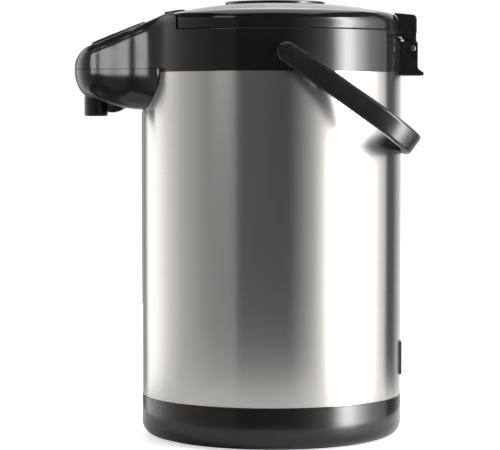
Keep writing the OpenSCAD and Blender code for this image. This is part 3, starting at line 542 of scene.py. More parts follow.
class Palette:
    """All finishes of the pot, each built once."""

    def __init__(self) -> None:
        """Lists the finishes."""
        self._made: dict[str, bpy.types.Material] = {}
        listed = [
            Plastic("gloss_black", (0.0052, 0.0052, 0.0062), 0.085, 260, 0.000006),
            Plastic("beak_black", (0.0052, 0.0052, 0.0062), 0.2, 400, 0.000006),
            Plastic("satin_black", (0.014, 0.014, 0.016), 0.3, 1400, 0.00001),
            Plastic("charcoal", (0.006, 0.006, 0.0075), 0.13, 900, 0.000003),
            Plastic("bail_black", (0.009, 0.009, 0.0105), 0.28, 1200, 0.000006),
            BrushedMetal("steel", (0.61, 0.59, 0.565), 0.24, (5, 5, 7000), 0.93, 0.0000003, 0.45),
            BrushedMetal("pot_steel", (0.66, 0.655, 0.64), 0.24, (40, 40, 1800), 0.4),
            BrushedMetal("screw_steel", (0.62, 0.62, 0.61), 0.28, (500, 500, 500)),
            BrushedMetal("plate_steel", (0.52, 0.52, 0.53), 0.42, (60, 900, 60)),
            BrushedMetal("pin_steel", (0.2, 0.2, 0.205), 0.3, (40, 1600, 1600)),
            BrushedMetal("aluminium", (0.6, 0.6, 0.61), 0.45, (180, 180, 180), depth=0.00003),
            BrushedMetal("mica", (0.4, 0.31, 0.19), 0.5, (60, 60, 700), depth=0.00002),
            BrushedMetal("motor", (0.4, 0.41, 0.43), 0.32, (60, 60, 900)),
            BrushedMetal("ferrite", (0.06, 0.06, 0.065), 0.55, (300, 300, 300), depth=0.00003),
            BrushedMetal("brass", (0.75, 0.58, 0.3), 0.24, (900, 60, 900)),
            Rubber("rubber", (0.016, 0.016, 0.016)),
            Rubber("silicone", (0.66, 0.64, 0.59), 0.45, 0.3),
            ClearPlastic("window", (0.9, 0.94, 0.95)),
            ClearPlastic("tube", (0.9, 0.95, 0.96), 0.1),
            Plastic("pale_plastic", (0.72, 0.7, 0.64), 0.42, 800, 0.00002),
            Plastic("board", (0.03, 0.16, 0.07), 0.35, 500, 0.00004),
            Plastic("panel", (0.016, 0.0165, 0.018), 0.34, 1600, 0.000012),
            Plastic("button", (0.1, 0.105, 0.115), 0.38, 1600, 0.000012),
            Plastic("lens", (0.55, 0.09, 0.03), 0.12, 500, 0.000005),
            Plastic("mark", (0.62, 0.62, 0.6), 0.5, 1200, 0.00001),
        ]
        self._finishes = {finish.name: finish for finish in listed}

    def __getitem__(self, name: str) -> bpy.types.Material:
        """The material of a finish, built on first use."""
        if name not in self._made:
            self._made[name] = self._finishes[name].material()
        return self._made[name]


PALETTE = Palette()


def finish_piece(
    name: str,
    shape: Shape,
    body: Body,
    slot: str,
    nodes: Sequence[str] = (),
    smooth: float = 32,
    look: str | None = None,
) -> bpy.types.Object:
    """Turns a shape into a finished piece of the pot.

    Args:
        name: The piece's name.
        shape: Its solid, in millimetres.
        body: The body it moves with.
        slot: The record's material slot, which also names its finish.
        nodes: The model's nodes that it stands for.
        smooth: Edges that turn by more than this, in degrees, stay sharp.
        look: Another finish than the slot's own.

    Returns:
        The piece's object, with its place in its mesh.
    """
    shape.move(Matrix.Scale(MM, 4))
    limit = math.radians(smooth)
    for face in shape.bm.faces:
        face.smooth = True
    for edge in shape.bm.edges:
        edge.smooth = len(edge.link_faces) == 2 and edge.calc_face_angle(0) < limit
    mesh = bpy.data.meshes.new(name)
    shape.bm.to_mesh(mesh)
    shape.bm.free()
    mesh.materials.append(PALETTE[look or slot])
    piece = placed(name, mesh)
    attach(piece, body.value)
    if nodes:
        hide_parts(*nodes)
    LOG.info("%s: %d faces on %s", name, len(mesh.polygons), body.value)
    return piece


# ---------------------------------------------------------------------------------------------
# Form of the head, which several pieces share
# ---------------------------------------------------------------------------------------------


@dataclass(frozen=True)
class HeadForm:
    """Plan, top line and sections of the head and its beak."""

    body_r: float = 105
    shoulder_z: float = 294.5
    seam_z: float = 327.5
    beak_seam_z: float = 297
    reach: float = 159.4
    half_w: float = 50
    nose_half_w: float = 44
    nose_y: float = -138
    fillet_r: float = 35
    edge_r: float = 9
    crown: float = 1.5
    slope: float = 22
    lid_slope: float = 11
    break_y: float = -86
    break_z: float = 341
    front_r: float = 250
    panel_y: float = -123

    @property
    def front_y(self) -> float:
        """Centre of the wide arc at the front of the lid."""
        return self.break_y + self.front_r

    @property
    def fillet_y(self) -> float:
        """Where the beak's side runs into its fillet."""
        return -math.sqrt((self.body_r + self.fillet_r) ** 2 - (self.half_w + self.fillet_r) ** 2)

    def half_width(self, y: float) -> float:
        """Half width of the head in plan at a given y."""
        on_body = self.fillet_y * self.body_r / (self.body_r + self.fillet_r)
        if y > on_body:
            return math.sqrt((self.body_r + 0.03) ** 2 - y * y)
        if y > self.fillet_y:
            return self.half_w + self.fillet_r - math.sqrt(self.fillet_r**2 - (y - self.fillet_y) ** 2)
        if y > self.nose_y:
            t = (self.fillet_y - y) / (self.fillet_y - self.nose_y)
            return self.half_w + (self.nose_half_w - self.half_w) * t * t * (3 - 2 * t)
        turn = min(1.0, (self.nose_y - y) / (self.nose_y + self.reach))
        return self.nose_half_w * (1 - turn**2.4) ** (1 / 2.4)

    def slope_line(self, y: float) -> float:
        """Height of the straight slopes of beak and lid."""
        angle = self.slope if y < self.break_y else self.lid_slope
        return self.break_z + (y - self.break_y) * math.tan(math.radians(angle))

    def nose_turn(self, y: float, start: float, power: float) -> float:
        """How far the nose has closed in, from 1 down to 0."""
        if y > start:
            return 1.0
        return max(0.0, 1 - ((start - y) / (start + self.reach)) ** power) ** (1 / power)

    def top_line(self, y: float) -> float:
        """Height of the head's top in the middle."""
        return self.beak_seam_z + (self.slope_line(y) - self.beak_seam_z) * self.nose_turn(y, -146, 2.2)

    def floor_depth(self, y: float) -> float:
        """Depth of the lower beak under its seam."""
        return (32 - 0.0046 * min(0.0, y + 100) ** 2) * self.nose_turn(y, -150, 2)

    def stations(self) -> list[float]:
        """Places of the sections from the nose back to the ring, close together where the form turns."""
        length = self.reach + self.nose_y - 0.02
        nose = [self.nose_y - length * math.cos(math.pi / 2 * i / 26) for i in range(26)]
        side = spread(self.nose_y, self.fillet_y, 14)
        return nose + side + spread(self.fillet_y + 0.9, -72, 26)

    def shell(self, low: Callable[[float], list[Point]], inset: float) -> Shape:
        """Lofts sections along the beak, with its nose drawn in by the inset."""
        rows = self.stations()
        drawn = [low(y) for y in rows]
        moved = [y + (inset * (-140 - y) / (self.reach - 140) if y < -140 else 0) for y in rows]
        return Shape.loft(len(rows), len(drawn[0]), lambda i, k: (drawn[i][k][0], moved[i], drawn[i][k][1]))

    def upper(self, inset: float, drop: float) -> Shape:
        """The upper half of the beak, with the raised part before the lid."""

        def section(y: float) -> list[Point]:
            w = max(1.5, self.half_width(y) - inset)
            low, high = self.beak_seam_z - drop, max(self.top_line(y) - inset, self.beak_seam_z + 0.2)
            r = min(self.edge_r, 0.6 * w, 0.8 * (high - low))
            crown = min(self.crown, 0.2 * (high - low)) * min(1.0, w / 40)
            half = [(w, low + (high - crown - r - low) * k / 4) for k in range(4)]
            half += arc(w - r, high - crown - r, r, 0, 90, 12)
            half += [((w - r) * (1 - k / 10), high - crown * (1 - k / 10) ** 2) for k in range(1, 10)]
            under = [(-w + 2 * w * k / 8, low) for k in range(1, 8)]
            return half + [(0, high)] + [(-x, z) for x, z in reversed(half)] + under

        return self.shell(section, inset)

    def lower(self, inset: float, rise: float, top: float) -> Shape:
        """The lower half of the beak: a flat floor that sweeps up into the sides."""

        def section(y: float) -> list[Point]:
            w = max(1.5, min(self.half_width(y), self.half_w + 7) - inset)
            depth = max(0.3, self.floor_depth(y) - inset + rise)
            flat = 0.44 * w
            turns = spread(0, math.pi / 2, 15)
            side = [(flat + (w - flat) * math.cos(a), top + rise - depth * math.sin(a)) for a in turns]
            floor = [(flat * (1 - k / 5), side[-1][1]) for k in range(1, 6)]
            half = side + floor
            over = [(-w + 2 * w * k / 8, top + rise) for k in range(1, 8)]
            return half + [(-x, z) for x, z in reversed(half[:-1])] + over

        return self.shell(section, inset)

    def on_panel(self) -> Matrix:
        """Places things on the sloping top of the beak, with z along its normal."""
        tilt = Matrix.Rotation(math.radians(self.slope), 4, "X")
        return Matrix.Translation((0, self.panel_y, self.slope_line(self.panel_y))) @ tilt

    def lid_room(self, gap: float) -> Shape:
        """The space over the ring that the lid takes, wider by the gap."""
        room = Shape.post(self.front_r + gap, self.seam_z - 0.4, 420, y=self.front_y, sides=720)
        return room.cut(Shape.post(self.body_r + 12, 300, 430, sides=128), Cut.COMMON)


HEAD = HeadForm()


@dataclass
class Base:
    """Foot ring, base ring, bottom cover and the jacket."""

    body_r: float = HEAD.body_r
    sheet: float = 0.8
    base_h: float = 34
    corner_r: float = 11
    window_low: float = 110
    window_high: float = 260
    first_mark: float = 12
    mark_step: float = 9
    inlet_z: float = 64
    inlet_half_h: float = 13.6
    inlet_half_w: float = 19.9

    def build(self) -> None:
        """Builds the pieces from the table up to the shoulder."""
        self.feet()
        self.base_ring()
        self.jacket()
        self.level_window()
        self.inlet()

    def feet(self) -> None:
        """The rubber ring that the pot stands on, with a groove in its underside."""
        groove = [(86.1, 0, 0), (86.1, 0.5, 0.2), (87.1, 0.5, 0.2), (87.1, 0, 0)]
        section = rounded([(84, 0, 0.8), *groove, (92, 0, 0.8), (92, 4, 0.2), (84, 4, 0.2)])
        ring = Shape.revolve(section)
        finish_piece("foot_pad", ring, Body.POT, "rubber", ["foot_ring"])

    def base_ring(self) -> None:
        """The moulded ring under the jacket, with a turned-in lower edge."""
        outer = self.body_r + 0.4
        corner = outer - self.corner_r
        profile = [(78, 1.2)] + arc(corner, 1.2 + self.corner_r, self.corner_r, -90, 0, 20)
        profile += rounded(
            [(outer, 20, 0), (outer, self.base_h, 0.5), (103.9, self.base_h, 0.1), (103.9, 42, 0.3),
             (101.4, 42, 0.3), (101.4, 14, 0), (96, 8, 0), (70.5, 8, 0.2), (70.5, 4.6, 0), (78, 4.6, 0)],
            4, closed=False,
        )[1:]
        ring = Shape.revolve(profile, 240)
        ring.cut(Shape.tube(83.9, 92.1, -1, 4.05))
        finish_piece("base_band", ring, Body.POT, "charcoal", ["base_ring"])

    def jacket(self) -> None:
        """The brushed sheet round the pot, with its window slot and inlet hole."""
        inner, outer = self.body_r - self.sheet, self.body_r
        low, high = 34.05, 294.4
        section = rounded([(inner, low, 0), (outer, low, 0.25), (outer, high, 0.25), (inner, high, 0)], 3)
        wall = Shape.revolve(section, 256)
        wall.cut(Shape.block((-8.2, -120, self.window_low - 3.2), (8.2, -60, self.window_high + 3.2)))
        wall.cut(Shape.block((-20.2, 60, self.inlet_z - 13.9), (20.2, 120, self.inlet_z + 13.9)))
        finish_piece("steel_wrap", wall, Body.POT, "steel", ["steel_jacket"])

    def band(self, inner: float, outer: float, x: float, low: float, high: float, round_r: float) -> Shape:
        """A piece of a cylinder's wall at the front, with round corners as seen from the front."""
        wall = Shape.tube(inner, outer, low - 5, high + 5, 360)
        outline = rounded([(-x, low, round_r), (x, low, round_r), (x, high, round_r), (-x, high, round_r)], 6)
        return wall.cut(Shape.prism(outline, 60, 130).move(FACING_FRONT), Cut.COMMON)

    def level_window(self) -> None:
        """The upright window over the level tube, its frame and its marks."""
        rim = self.band(102.6, self.body_r + 0.3, 8, self.window_low - 3, self.window_high + 3, 2.4)
        rim.cut(self.band(100, 108, 5.9, self.window_low, self.window_high, 1.6))
        finish_piece("window_rim", rim.bevel(0.25, 2), Body.POT, "satin_black", ["window_frame"])
        pane = self.band(103.6, self.body_r - 0.1, 5.85, self.window_low + 0.05, self.window_high - 0.05, 1.6)
        finish_piece("window_pane", pane, Body.POT, "window", ["level_window"])
        marks = Shape()
        for k in range(15):
            z = self.window_low + self.first_mark + self.mark_step * k
            width = 2.6 if k % 3 == 0 else 1.5
            marks.add(Shape.block((-5.6, -105.12, z - 0.22), (-5.6 + width, -104.9, z + 0.22)))
        finish_piece("level_marks", marks, Body.POT, "satin_black", look="mark")
        for k, digit in enumerate("12345"):
            self.digit(digit, self.window_low + self.first_mark + 3 * self.mark_step * k + 3.6)

    def digit(self, text: str, z: float) -> None:
        """A plain litre number beside a mark."""
        curve = bpy.data.curves.new("digit", "FONT")
        curve.body, curve.size, curve.extrude = text, 4.2, 0.06
        curve.align_x = curve.align_y = "CENTER"
        holder = placed("digit", curve)
        fresh = evaluated(holder)
        bpy.data.objects.remove(holder)
        bpy.data.curves.remove(curve)
        turned = Shape(fresh).move(Matrix.Translation((-3.9, -self.body_r, z)) @ FACING_FRONT)
        finish_piece(f"litre_{text}", turned, Body.POT, "satin_black", look="mark")

    def inlet(self) -> None:
        """The flush inlet for the cord's connector."""
        outline = rounded(rectangle(self.inlet_half_w, self.inlet_half_h, 2.5, y=self.inlet_z))
        front = Shape.prism(outline, -105.3, -82).move(FACING_FRONT).bevel(0.4, 2)
        mouth = rounded(rectangle(15, 9, 3, y=self.inlet_z))
        front.cut(Shape.prism(mouth, -120, -88).move(FACING_FRONT))
        finish_piece("inlet_shroud", front, Body.POT, "satin_black", ["inlet_socket"])
        pins = Shape()
        for x in (-9, 0, 9):
            pin = Shape.rod(1.98, (x, 82, self.inlet_z), (x, 97.9, self.inlet_z), 40)
            pins.add(pin.bevel(0.7, 3, SQUARE_EDGES))
        finish_piece("inlet_prongs", pins, Body.POT, "brass", ["inlet_pins"])


@dataclass
class Head:
    """The glossy head: ring, beak, panel, nozzle and cup lever."""

    form: HeadForm = HEAD
    wall: float = 2.5
    panel_w: float = 66
    panel_l: float = 46
    panel_r: float = 7
    nozzle_y: float = -142.6
    lever_y: float = -122
    lever_z: float = 281
    button_x: float = 21
    button_v: float = -6
    lens_v: float = 14
    lens_places: tuple[float, ...] = (-10, 0, 10)

    def build(self) -> None:
        """Builds the pieces of the head."""
        self.frame_moulding()
        self.lower_cover()
        self.panel()
        self.buttons()
        self.nozzle()
        self.lever()

    def panel_plug(self, grow: float, low: float, high: float) -> Shape:
        """The panel's rounded outline, grown by a margin, between two depths along the normal."""
        x, y, r = self.panel_w / 2 + grow, self.panel_l / 2 + grow, self.panel_r + grow
        return Shape.prism(rounded(rectangle(x, y, r), 10), low, high)

    def frame_moulding(self) -> None:
        """The ring round the pot's mouth, and the upper beak that is one moulding with it."""
        form = self.form
        beak = form.upper(0, 0)
        hollow = form.upper(self.wall, 1)
        hollow.cut(Shape.post(form.front_r + self.wall, 200, 420, y=form.front_y, sides=720))
        beak.cut(hollow)
        beak.cut(Shape.post(102.9, 250, 318.9, sides=180))
        beak.cut(Shape.post(92.6, 300, 319.9, sides=180))
        beak.cut(form.lid_room(0.2))
        beak.cut(self.panel_plug(0.25, -14, 20).move(form.on_panel()))
        beak.cut(Shape.block((-10, -95, 328.5), (10, -75, 335.5)))
        ring = Shape.revolve(
            rounded(
                [(101.6, 288.5, 0.2), (103.9, 288.5, 0.6), (103.9, form.shoulder_z, 0),
                 (form.body_r, form.shoulder_z, 0.3), (form.body_r, form.seam_z, 1.1),
                 (101.6, form.seam_z, 0.6), (101.6, 319.5, 0), (92.4, 319.5, 0.4), (92.4, 317, 0.2),
                 (102.2, 317, 0), (102.2, 303, 0), (89.2, 303, 0.2), (89.2, 299.5, 0.2),
                 (101.6, 299.5, 0)], 5,
            ), 256,
        )
        rear = Shape.block((-53.3, 60, 294.3), (53.3, 130, 340))
        ring.cut(rear.cut(Shape.post(100.8, 280, 350, sides=180)))
        ring.cut(Shape.block((-28, -115, 302.6), (28, -80, 316)))
        ring.cut(Shape.post(5.2, 280, 304, y=-96.8))
        for side in (-1, 1):
            ring.cut(Bail().pivot_rod(6.1, side * 90, side * 110))
        finish_piece("head_moulding", ring, Body.POT, "gloss_black", ["head_frame"])
        finish_piece("beak_top", beak, Body.POT, "gloss_black", look="beak_black")

    def lower_cover(self) -> None:
        """The cover under the beak, with its slot for the lever and its hole for the nozzle."""
        form = self.form
        top = 296.6
        cover = form.lower(0, 0, top)
        cover.cut(form.lower(self.wall, 1, top))
        cover.cut(Shape.post(form.body_r + 0.35, 240, 320, sides=360))
        cover.cut(Shape.post(9.75, 240, 284, y=self.nozzle_y))
        slot = rounded([(-11.6, -133.4, 1.5), (11.6, -133.4, 0.2), (11.6, -111, 2.5), (-11.6, -111, 2.5)])
        cover.cut(Shape.prism(slot, 240, 281))
        nodes = ["lower_beak_cover"]
        finish_piece("beak_underside", cover, Body.POT, "gloss_black", nodes, look="beak_black")

    def panel(self) -> None:
        """The satin panel let into the beak's slope."""
        plate = self.panel_plug(0, -4.9, 0.35).bevel(0.3, 4, 50)
        lenses = Shape()
        for x in self.lens_places:
            plate.cut(Shape.post(1.85, -6, 3, x, self.lens_v, 32))
            lenses.add(Shape.post(1.8, -4, 0.6, x, self.lens_v, 32).bevel(0.3, 3, SQUARE_EDGES))
        holes = ((0, 10.8), (-self.button_x, 5.8), (self.button_x, 5.8))
        for x, r in holes:
            plate.cut(Shape.post(r, -6, 3, x, self.button_v, 72))
            plate.cut(Shape.post(r + 1.7, -6, -2.2, x, self.button_v, 72))
        for x, r in holes:
            near, far = r + 0.1, r + 1.5
            collar = rounded([(near, 0.1, 0), (far, 0.1, 0), (far, 0.6, 0.2), (near, 0.6, 0.2)], 3)
            plate.add(Shape.revolve(collar, 72).shift(x, self.button_v))
        finish_piece("panel_plate", plate.move(self.form.on_panel()), Body.POT, "panel", ["control_panel"])
        finish_piece("lens_dots", lenses.move(self.form.on_panel()), Body.POT, "lens", ["indicator_lenses"])

    def buttons(self) -> None:
        """The three caps, each dished a little and with a skirt under the panel."""
        far = self.button_x
        for body, x, r in ((Body.DISPENSE, 0, 10.5), (Body.REBOIL, -far, 5.5), (Body.UNLOCK, far, 5.5)):
            top = [(r, -0.7, 0), (r, 0.85, 0.5), (r * 0.82, 0.9, 0.5), (0, 0.5, 0)]
            skirt = [(0, -4.1), (r + 1.4, -4.1), (r + 1.4, -3.2), (r, -3.2)]
            profile = skirt + rounded(top, 5, closed=False)[1:]
            cap = Shape.revolve(profile, 72, closed=False).shift(x, self.button_v)
            finish_piece(f"{body.value}_cap", cap.move(self.form.on_panel()), body, "button", [body.value])

    def nozzle(self) -> None:
        """The round spout under the beak, with a stepped mouth."""
        profile = rounded(
            [(5, 259.4, 0.5), (8.5, 259.4, 0.6), (9.5, 260.4, 0.5), (9.5, 281, 0), (10.8, 281, 0.2),
             (10.8, 283, 0.2), (7, 283, 0), (7, 284, 0), (3.6, 284, 0), (3.6, 281, 0), (5, 281, 0)], 4,
        )
        spout = Shape.revolve(profile, 96).shift(0, self.nozzle_y)
        finish_piece("spout", spout, Body.POT, "satin_black", ["nozzle"])

    def lever_rod(self, radius: float, half: float, sides: int = 48) -> Shape:
        """A rod on the lever's axis."""
        y, z = self.lever_y, self.lever_z
        return Shape.rod(radius, (-half, y, z), (half, y, z), sides)

    def lever(self) -> None:
        """The lever that a cup pushes back, behind the nozzle."""
        outline = rounded(
            [(-127, 284, 1), (-132.6, 276, 1), (-132.6, 262.5, 1.4), (-128, 262.3, 3), (-123.2, 263.5, 6),
             (-116.6, 267.2, 2), (-116.6, 278, 2), (-118, 284, 1)], 5,
        )
        lever = Shape.prism(outline, -11, 11, Along.X).bevel(0.8, 3, SQUARE_EDGES)
        lever.cut(self.lever_rod(4.9, 11.6), Cut.JOIN)
        lever.cut(self.lever_rod(1.55, 20, 32))
        finish_piece("lever_paddle", lever, Body.LEVER, "satin_black", ["cup_lever"])


@dataclass
class Hinge:
    """Bracket, pin and block of the lid's hinge."""

    pin_y: float = 113.2
    pin_z: float = 313.8
    pin_r: float = 2.5
    half_w: float = 20.6
    knuckle: float = 12
    turning_r: float = 7.2

    def build(self) -> None:
        """Builds the bracket on the pot, its pin, and the block on the lid."""
        self.bracket()
        self.pin()
        self.block()

    def pin_rod(self, radius: float, half: float) -> Shape:
        """A rod on the hinge's axis."""
        return Shape.rod(radius, (-half, self.pin_y, self.pin_z), (half, self.pin_y, self.pin_z), 64)

    def bracket(self) -> None:
        """The rear part of the ring with the cheeks that hold the pin."""
        low, outer = HEAD.shoulder_z, HEAD.body_r
        section = rounded([(102.2, low, 0), (outer, low, 0.3), (outer, 322.4, 0.8), (102.2, 322.4, 0.4)], 4)
        ring = Shape.revolve(section, 256).cut(Shape.block((-53, 60, 280), (53, 130, 330)), Cut.COMMON)
        side = rounded(
            [(98, 292, 0), (121.4, 292, 0.6), (122.3, 293.2, 0.5), (122.2, 294.2, 0.5), (117.4, 297.7, 3),
             (117.4, 319.5, 1.8), (98, 319.5, 0)], 5,
        )
        cheeks = Shape.prism(side, -self.half_w, self.half_w, Along.X).bevel(0.7, 3, SQUARE_EDGES)
        cheeks.cut(Shape.post(102.3, 280, 330, sides=256))
        cheeks.cut(Shape.post(105.3, 280, low, sides=256))
        gap, y, z = self.knuckle + 0.4, self.pin_y, self.pin_z
        cheeks.cut(self.pin_rod(self.turning_r, gap))
        cheeks.cut(Shape.block((-gap, y - self.turning_r, z), (gap, y + 20, z + 20)))
        cheeks.cut(Shape.block((-gap, y, z - self.turning_r), (gap, y + 20, z + 20)))
        cheeks.cut(self.pin_rod(3.9, 30).cut(self.pin_rod(10, self.half_w - 0.7)))
        cheeks.cut(self.pin_rod(self.pin_r, 30))
        foot = Shape.block((-20, 94.6, 303.05), (20, 102.6, 305.4)).bevel(0.4, 2)
        finish_piece("hinge_cheeks", ring.add(cheeks, foot), Body.POT, "gloss_black", ["hinge_bracket"])

    def pin(self) -> None:
        """The steel pin, with its ends rounded off."""
        axle = self.pin_rod(self.pin_r, self.half_w - 0.1).bevel(0.6, 3, SQUARE_EDGES)
        finish_piece("hinge_axle", axle, Body.POT, "pin_steel", ["hinge_pin"])

    def block(self) -> None:
        """The block at the rear of the lid, with the knuckle that turns on the pin."""
        outline = [(92, 326, 0), (116.6, 326, 0.8), (116.6, 340.6, 4), (96, 342.5, 0), (92, 342.8, 0)]
        side = rounded(outline, 8)
        block = Shape.prism(side, -self.half_w, self.half_w, Along.X).bevel(0.9, 4, SQUARE_EDGES)
        x = self.half_w - 1
        lower = Shape.block((-x, 98, 323), (x, 115.8, 327))
        lower.cut(Shape.block((-x, 105.6, 321.2), (x, 115.8, 325)).bevel(0.4, 2), Cut.JOIN)
        block.cut(lower, Cut.JOIN)
        z, near, far, top = self.pin_z, self.pin_y - 6.4, self.pin_y + 3.4, 327
        stem = [(near, z), (far, z), (far, top), (near, top)]
        block.cut(Shape.prism(stem, -self.knuckle, self.knuckle, Along.X), Cut.JOIN)
        block.cut(self.pin_rod(4.4, self.knuckle), Cut.JOIN)
        block.cut(self.pin_rod(2.55, 30))
        block.cut(Lid().plug(0.1))
        finish_piece("lid_lug", block, Body.LID, "gloss_black", ["lid_hinge_block"])


@dataclass
class Lid:
    """The lid with its push plate, its latch and what shows under it."""

    form: HeadForm = HEAD
    radius: float = 103.8
    top_z: float = 351.6
    crown_r: float = 500
    rim_r: float = 10
    foot_z: float = 327.8
    wall: float = 2.5
    plate_r: float = 40.6
    plate_y: float = 3
    vent_y: float = 68
    slope_y: float = -38
    easing: float = 2.4

    def build(self) -> None:
        """Builds the lid's pieces."""
        self.shell()
        self.inner_plate()
        self.vent()
        self.plate()
        self.latch()

    def plug(self, grow: float) -> Shape:
        """The room under the lid's rim that the hinge block keeps clear of."""
        reach, rim_z = self.radius + grow, 334
        profile = [(0, 300), (reach, 300), (reach, rim_z)]
        profile += arc(reach - self.rim_r, rim_z, self.rim_r, 15, 75, 8) + [(0, 346)]
        return Shape.revolve(profile, 256, closed=False)

    def front_z(self, y: float) -> float:
        """Height of the lid's front slope."""
        rise = math.tan(math.radians(self.form.lid_slope))
        return self.form.slope_line(self.slope_y) + (y - self.slope_y) * rise

    def dome(self, inset: float) -> Shape:
        """The lid's outer form, moved in by an inset, with its crown eased into the front slope."""
        crown_z = self.top_z - self.crown_r
        rim_z = crown_z + math.sqrt((self.crown_r - self.rim_r) ** 2 - (self.radius - self.rim_r) ** 2)
        meet = 90 - math.degrees(math.asin((self.radius - self.rim_r) / (self.crown_r - self.rim_r)))
        low = self.foot_z if inset <= 0.1 else self.foot_z - 1
        edge = self.radius - inset
        foot = [(0, low), (edge - 0.5, low), (edge - 0.15, low + 0.15), (edge, low + 0.5)]
        rim = arc(self.radius - self.rim_r, rim_z, self.rim_r - inset, 0, meet, 14)
        radii = spread(rim[-1][0], 0, 30)[1:]
        top = [(r, crown_z + math.sqrt((self.crown_r - inset) ** 2 - r * r)) for r in radii]
        dome = Shape.revolve(foot + rim + top, 256, closed=False)
        for vert in dome.bm.verts:
            if vert.co.z > self.foot_z + 2:
                front = self.front_z(vert.co.y) - inset
                gap = (vert.co.z - front) / self.easing
                if gap > 6:
                    vert.co.z = front
                elif gap > -6:
                    vert.co.z -= self.easing * math.log1p(math.exp(gap))
        room = Shape.post(self.form.front_r - 0.3 - inset, 300, 400, y=self.form.front_y, sides=720)
        return dome.cut(room, Cut.COMMON)

    def shell(self) -> None:
        """The outer moulding of the lid, open in the middle for the push plate."""
        hole = Shape.post(self.plate_r + 0.4, 300, 400, y=self.plate_y, sides=160)
        slot = Shape.block((-11.5, -83.5, 335.5), (11.5, -71.5, 400))
        shell = self.dome(0).cut(self.dome(self.wall)).cut(hole).cut(slot)
        shell.cut(Shape.block((-9.5, -90, 329.1), (9.5, -78, 334.5)))
        shell.cut(Shape.post(9.2, 300, 400, y=self.vent_y, sides=64))
        well = Shape.tube(self.plate_r + 0.45, self.plate_r + 2.9, 333, 370, 160).shift(0, self.plate_y)
        well.cut(self.dome(1), Cut.COMMON)
        tab = Shape.tube(self.radius - 3, self.radius, self.form.seam_z - 4.6, 328.8, 256)
        tab.cut(Shape.block((-52.4, 60, 300), (52.4, 130, 340)), Cut.COMMON)
        finish_piece("lid_dome", shell.add(well, tab), Body.LID, "gloss_black", ["lid_shell"])

    def inner_plate(self) -> None:
        """The steel plate under the lid, with a ring pressed into it."""
        profile = rounded(
            [(5, 315, 0), (28, 315, 1), (31, 316.2, 1), (60, 316.2, 1), (63, 315, 1), (74, 315, 1.5),
             (74, 325.3, 0.4), (80.2, 325.3, 0), (80.2, 322, 0.3), (82, 322, 0.3), (82, 325.3, 0.3),
             (98.8, 325.3, 0.5), (98.8, 327.7, 0.5), (71.5, 327.7, 0.5), (71.5, 317, 1), (5, 317, 0)], 5,
        )
        room = Shape.post(self.form.front_r - 1, 300, 360, y=self.form.front_y, sides=720)
        plate = Shape.revolve(profile, 200).cut(room, Cut.COMMON)
        finish_piece("lid_underplate", plate, Body.LID, "pot_steel", ["inner_lid"])

    def vent(self) -> None:
        """The slotted steam outlet near the hinge."""
        cap = Shape.post(9, 340, 347, y=self.vent_y, sides=72)
        cap.cut(self.dome(-0.4), Cut.COMMON).bevel(0.3, 2, SQUARE_EDGES)
        for k in range(5):
            slit = rounded(rectangle(0.6, 5, 0.5, -5 + 2.5 * k, self.vent_y), 3)
            cap.cut(Shape.prism(slit, 330, 360))
        finish_piece("vent_grille", cap, Body.LID, "satin_black", ["steam_vent"])

    def plate(self) -> None:
        """The round plate of the hand pump, with a shallow ring in its top."""
        top = self.top_z + 1.1
        r = self.plate_r

        def crown(x: float) -> float:
            return top - 1.2 * (x / r) ** 2

        profile = [
            (0, 349.7), (24, 349.3), (24, 342), (31, 342), (31, 349.1), (r - 2.4, 348.9), (r - 2.4, 339.2),
            (r - 0.2, 339.2), (r, 339.5),
        ]
        profile += arc(r - 1, crown(r - 1) - 1, 1, 0, 80, 6)
        profile += [(x, crown(x)) for x in spread(r - 1, 33.2, 8)]
        profile += [(32.9, crown(32.9) - 0.25), (32.3, crown(32.3) - 0.25), (32, crown(32))]
        profile += [(x, crown(x)) for x in spread(31, 0, 16)]
        button = Shape.revolve(profile, 180, closed=False).shift(0, self.plate_y)
        finish_piece("pump_button", button, Body.PLATE, "gloss_black", ["push_plate"])

    def latch(self) -> None:
        """The thumb slide at the lid's front, with ribs across it."""
        z = self.front_z
        outline = rounded(
            [(-86.4, z(-86.4) + 0.5, 0.3), (-70, z(-70) + 0.5, 0.1), (-70, z(-70) + 0.9, 0.15),
             (-76, z(-76) + 1.7, 2), (-85.8, z(-85.8) + 1.9, 0.4), (-86.4, z(-86.4) + 1.3, 0.2)], 3,
        )
        slide = Shape.prism(outline, -18, 18, Along.X).bevel(0.25, 2, SQUARE_EDGES)
        for k in range(4):
            y = -83.6 + 2.1 * k
            slide.add(Shape.rod(0.35, (-12, y, z(y) + 1.7), (12, y, z(y) + 1.7), 12))
        slide.add(Shape.block((-10.5, -82, 332.5), (10.5, -76.5, z(-79) + 0.7)))
        tongue = [(-85.5, 329.7), (-66, 329.7), (-66, 333.3), (-82, 333.3), (-85.5, 331.3)]
        bolt = Shape.prism(tongue, -9, 9, Along.X).bevel(0.3, 2, SQUARE_EDGES)
        finish_piece("latch_thumb", slide.add(bolt), Body.LATCH, "gloss_black", ["latch_slide"])


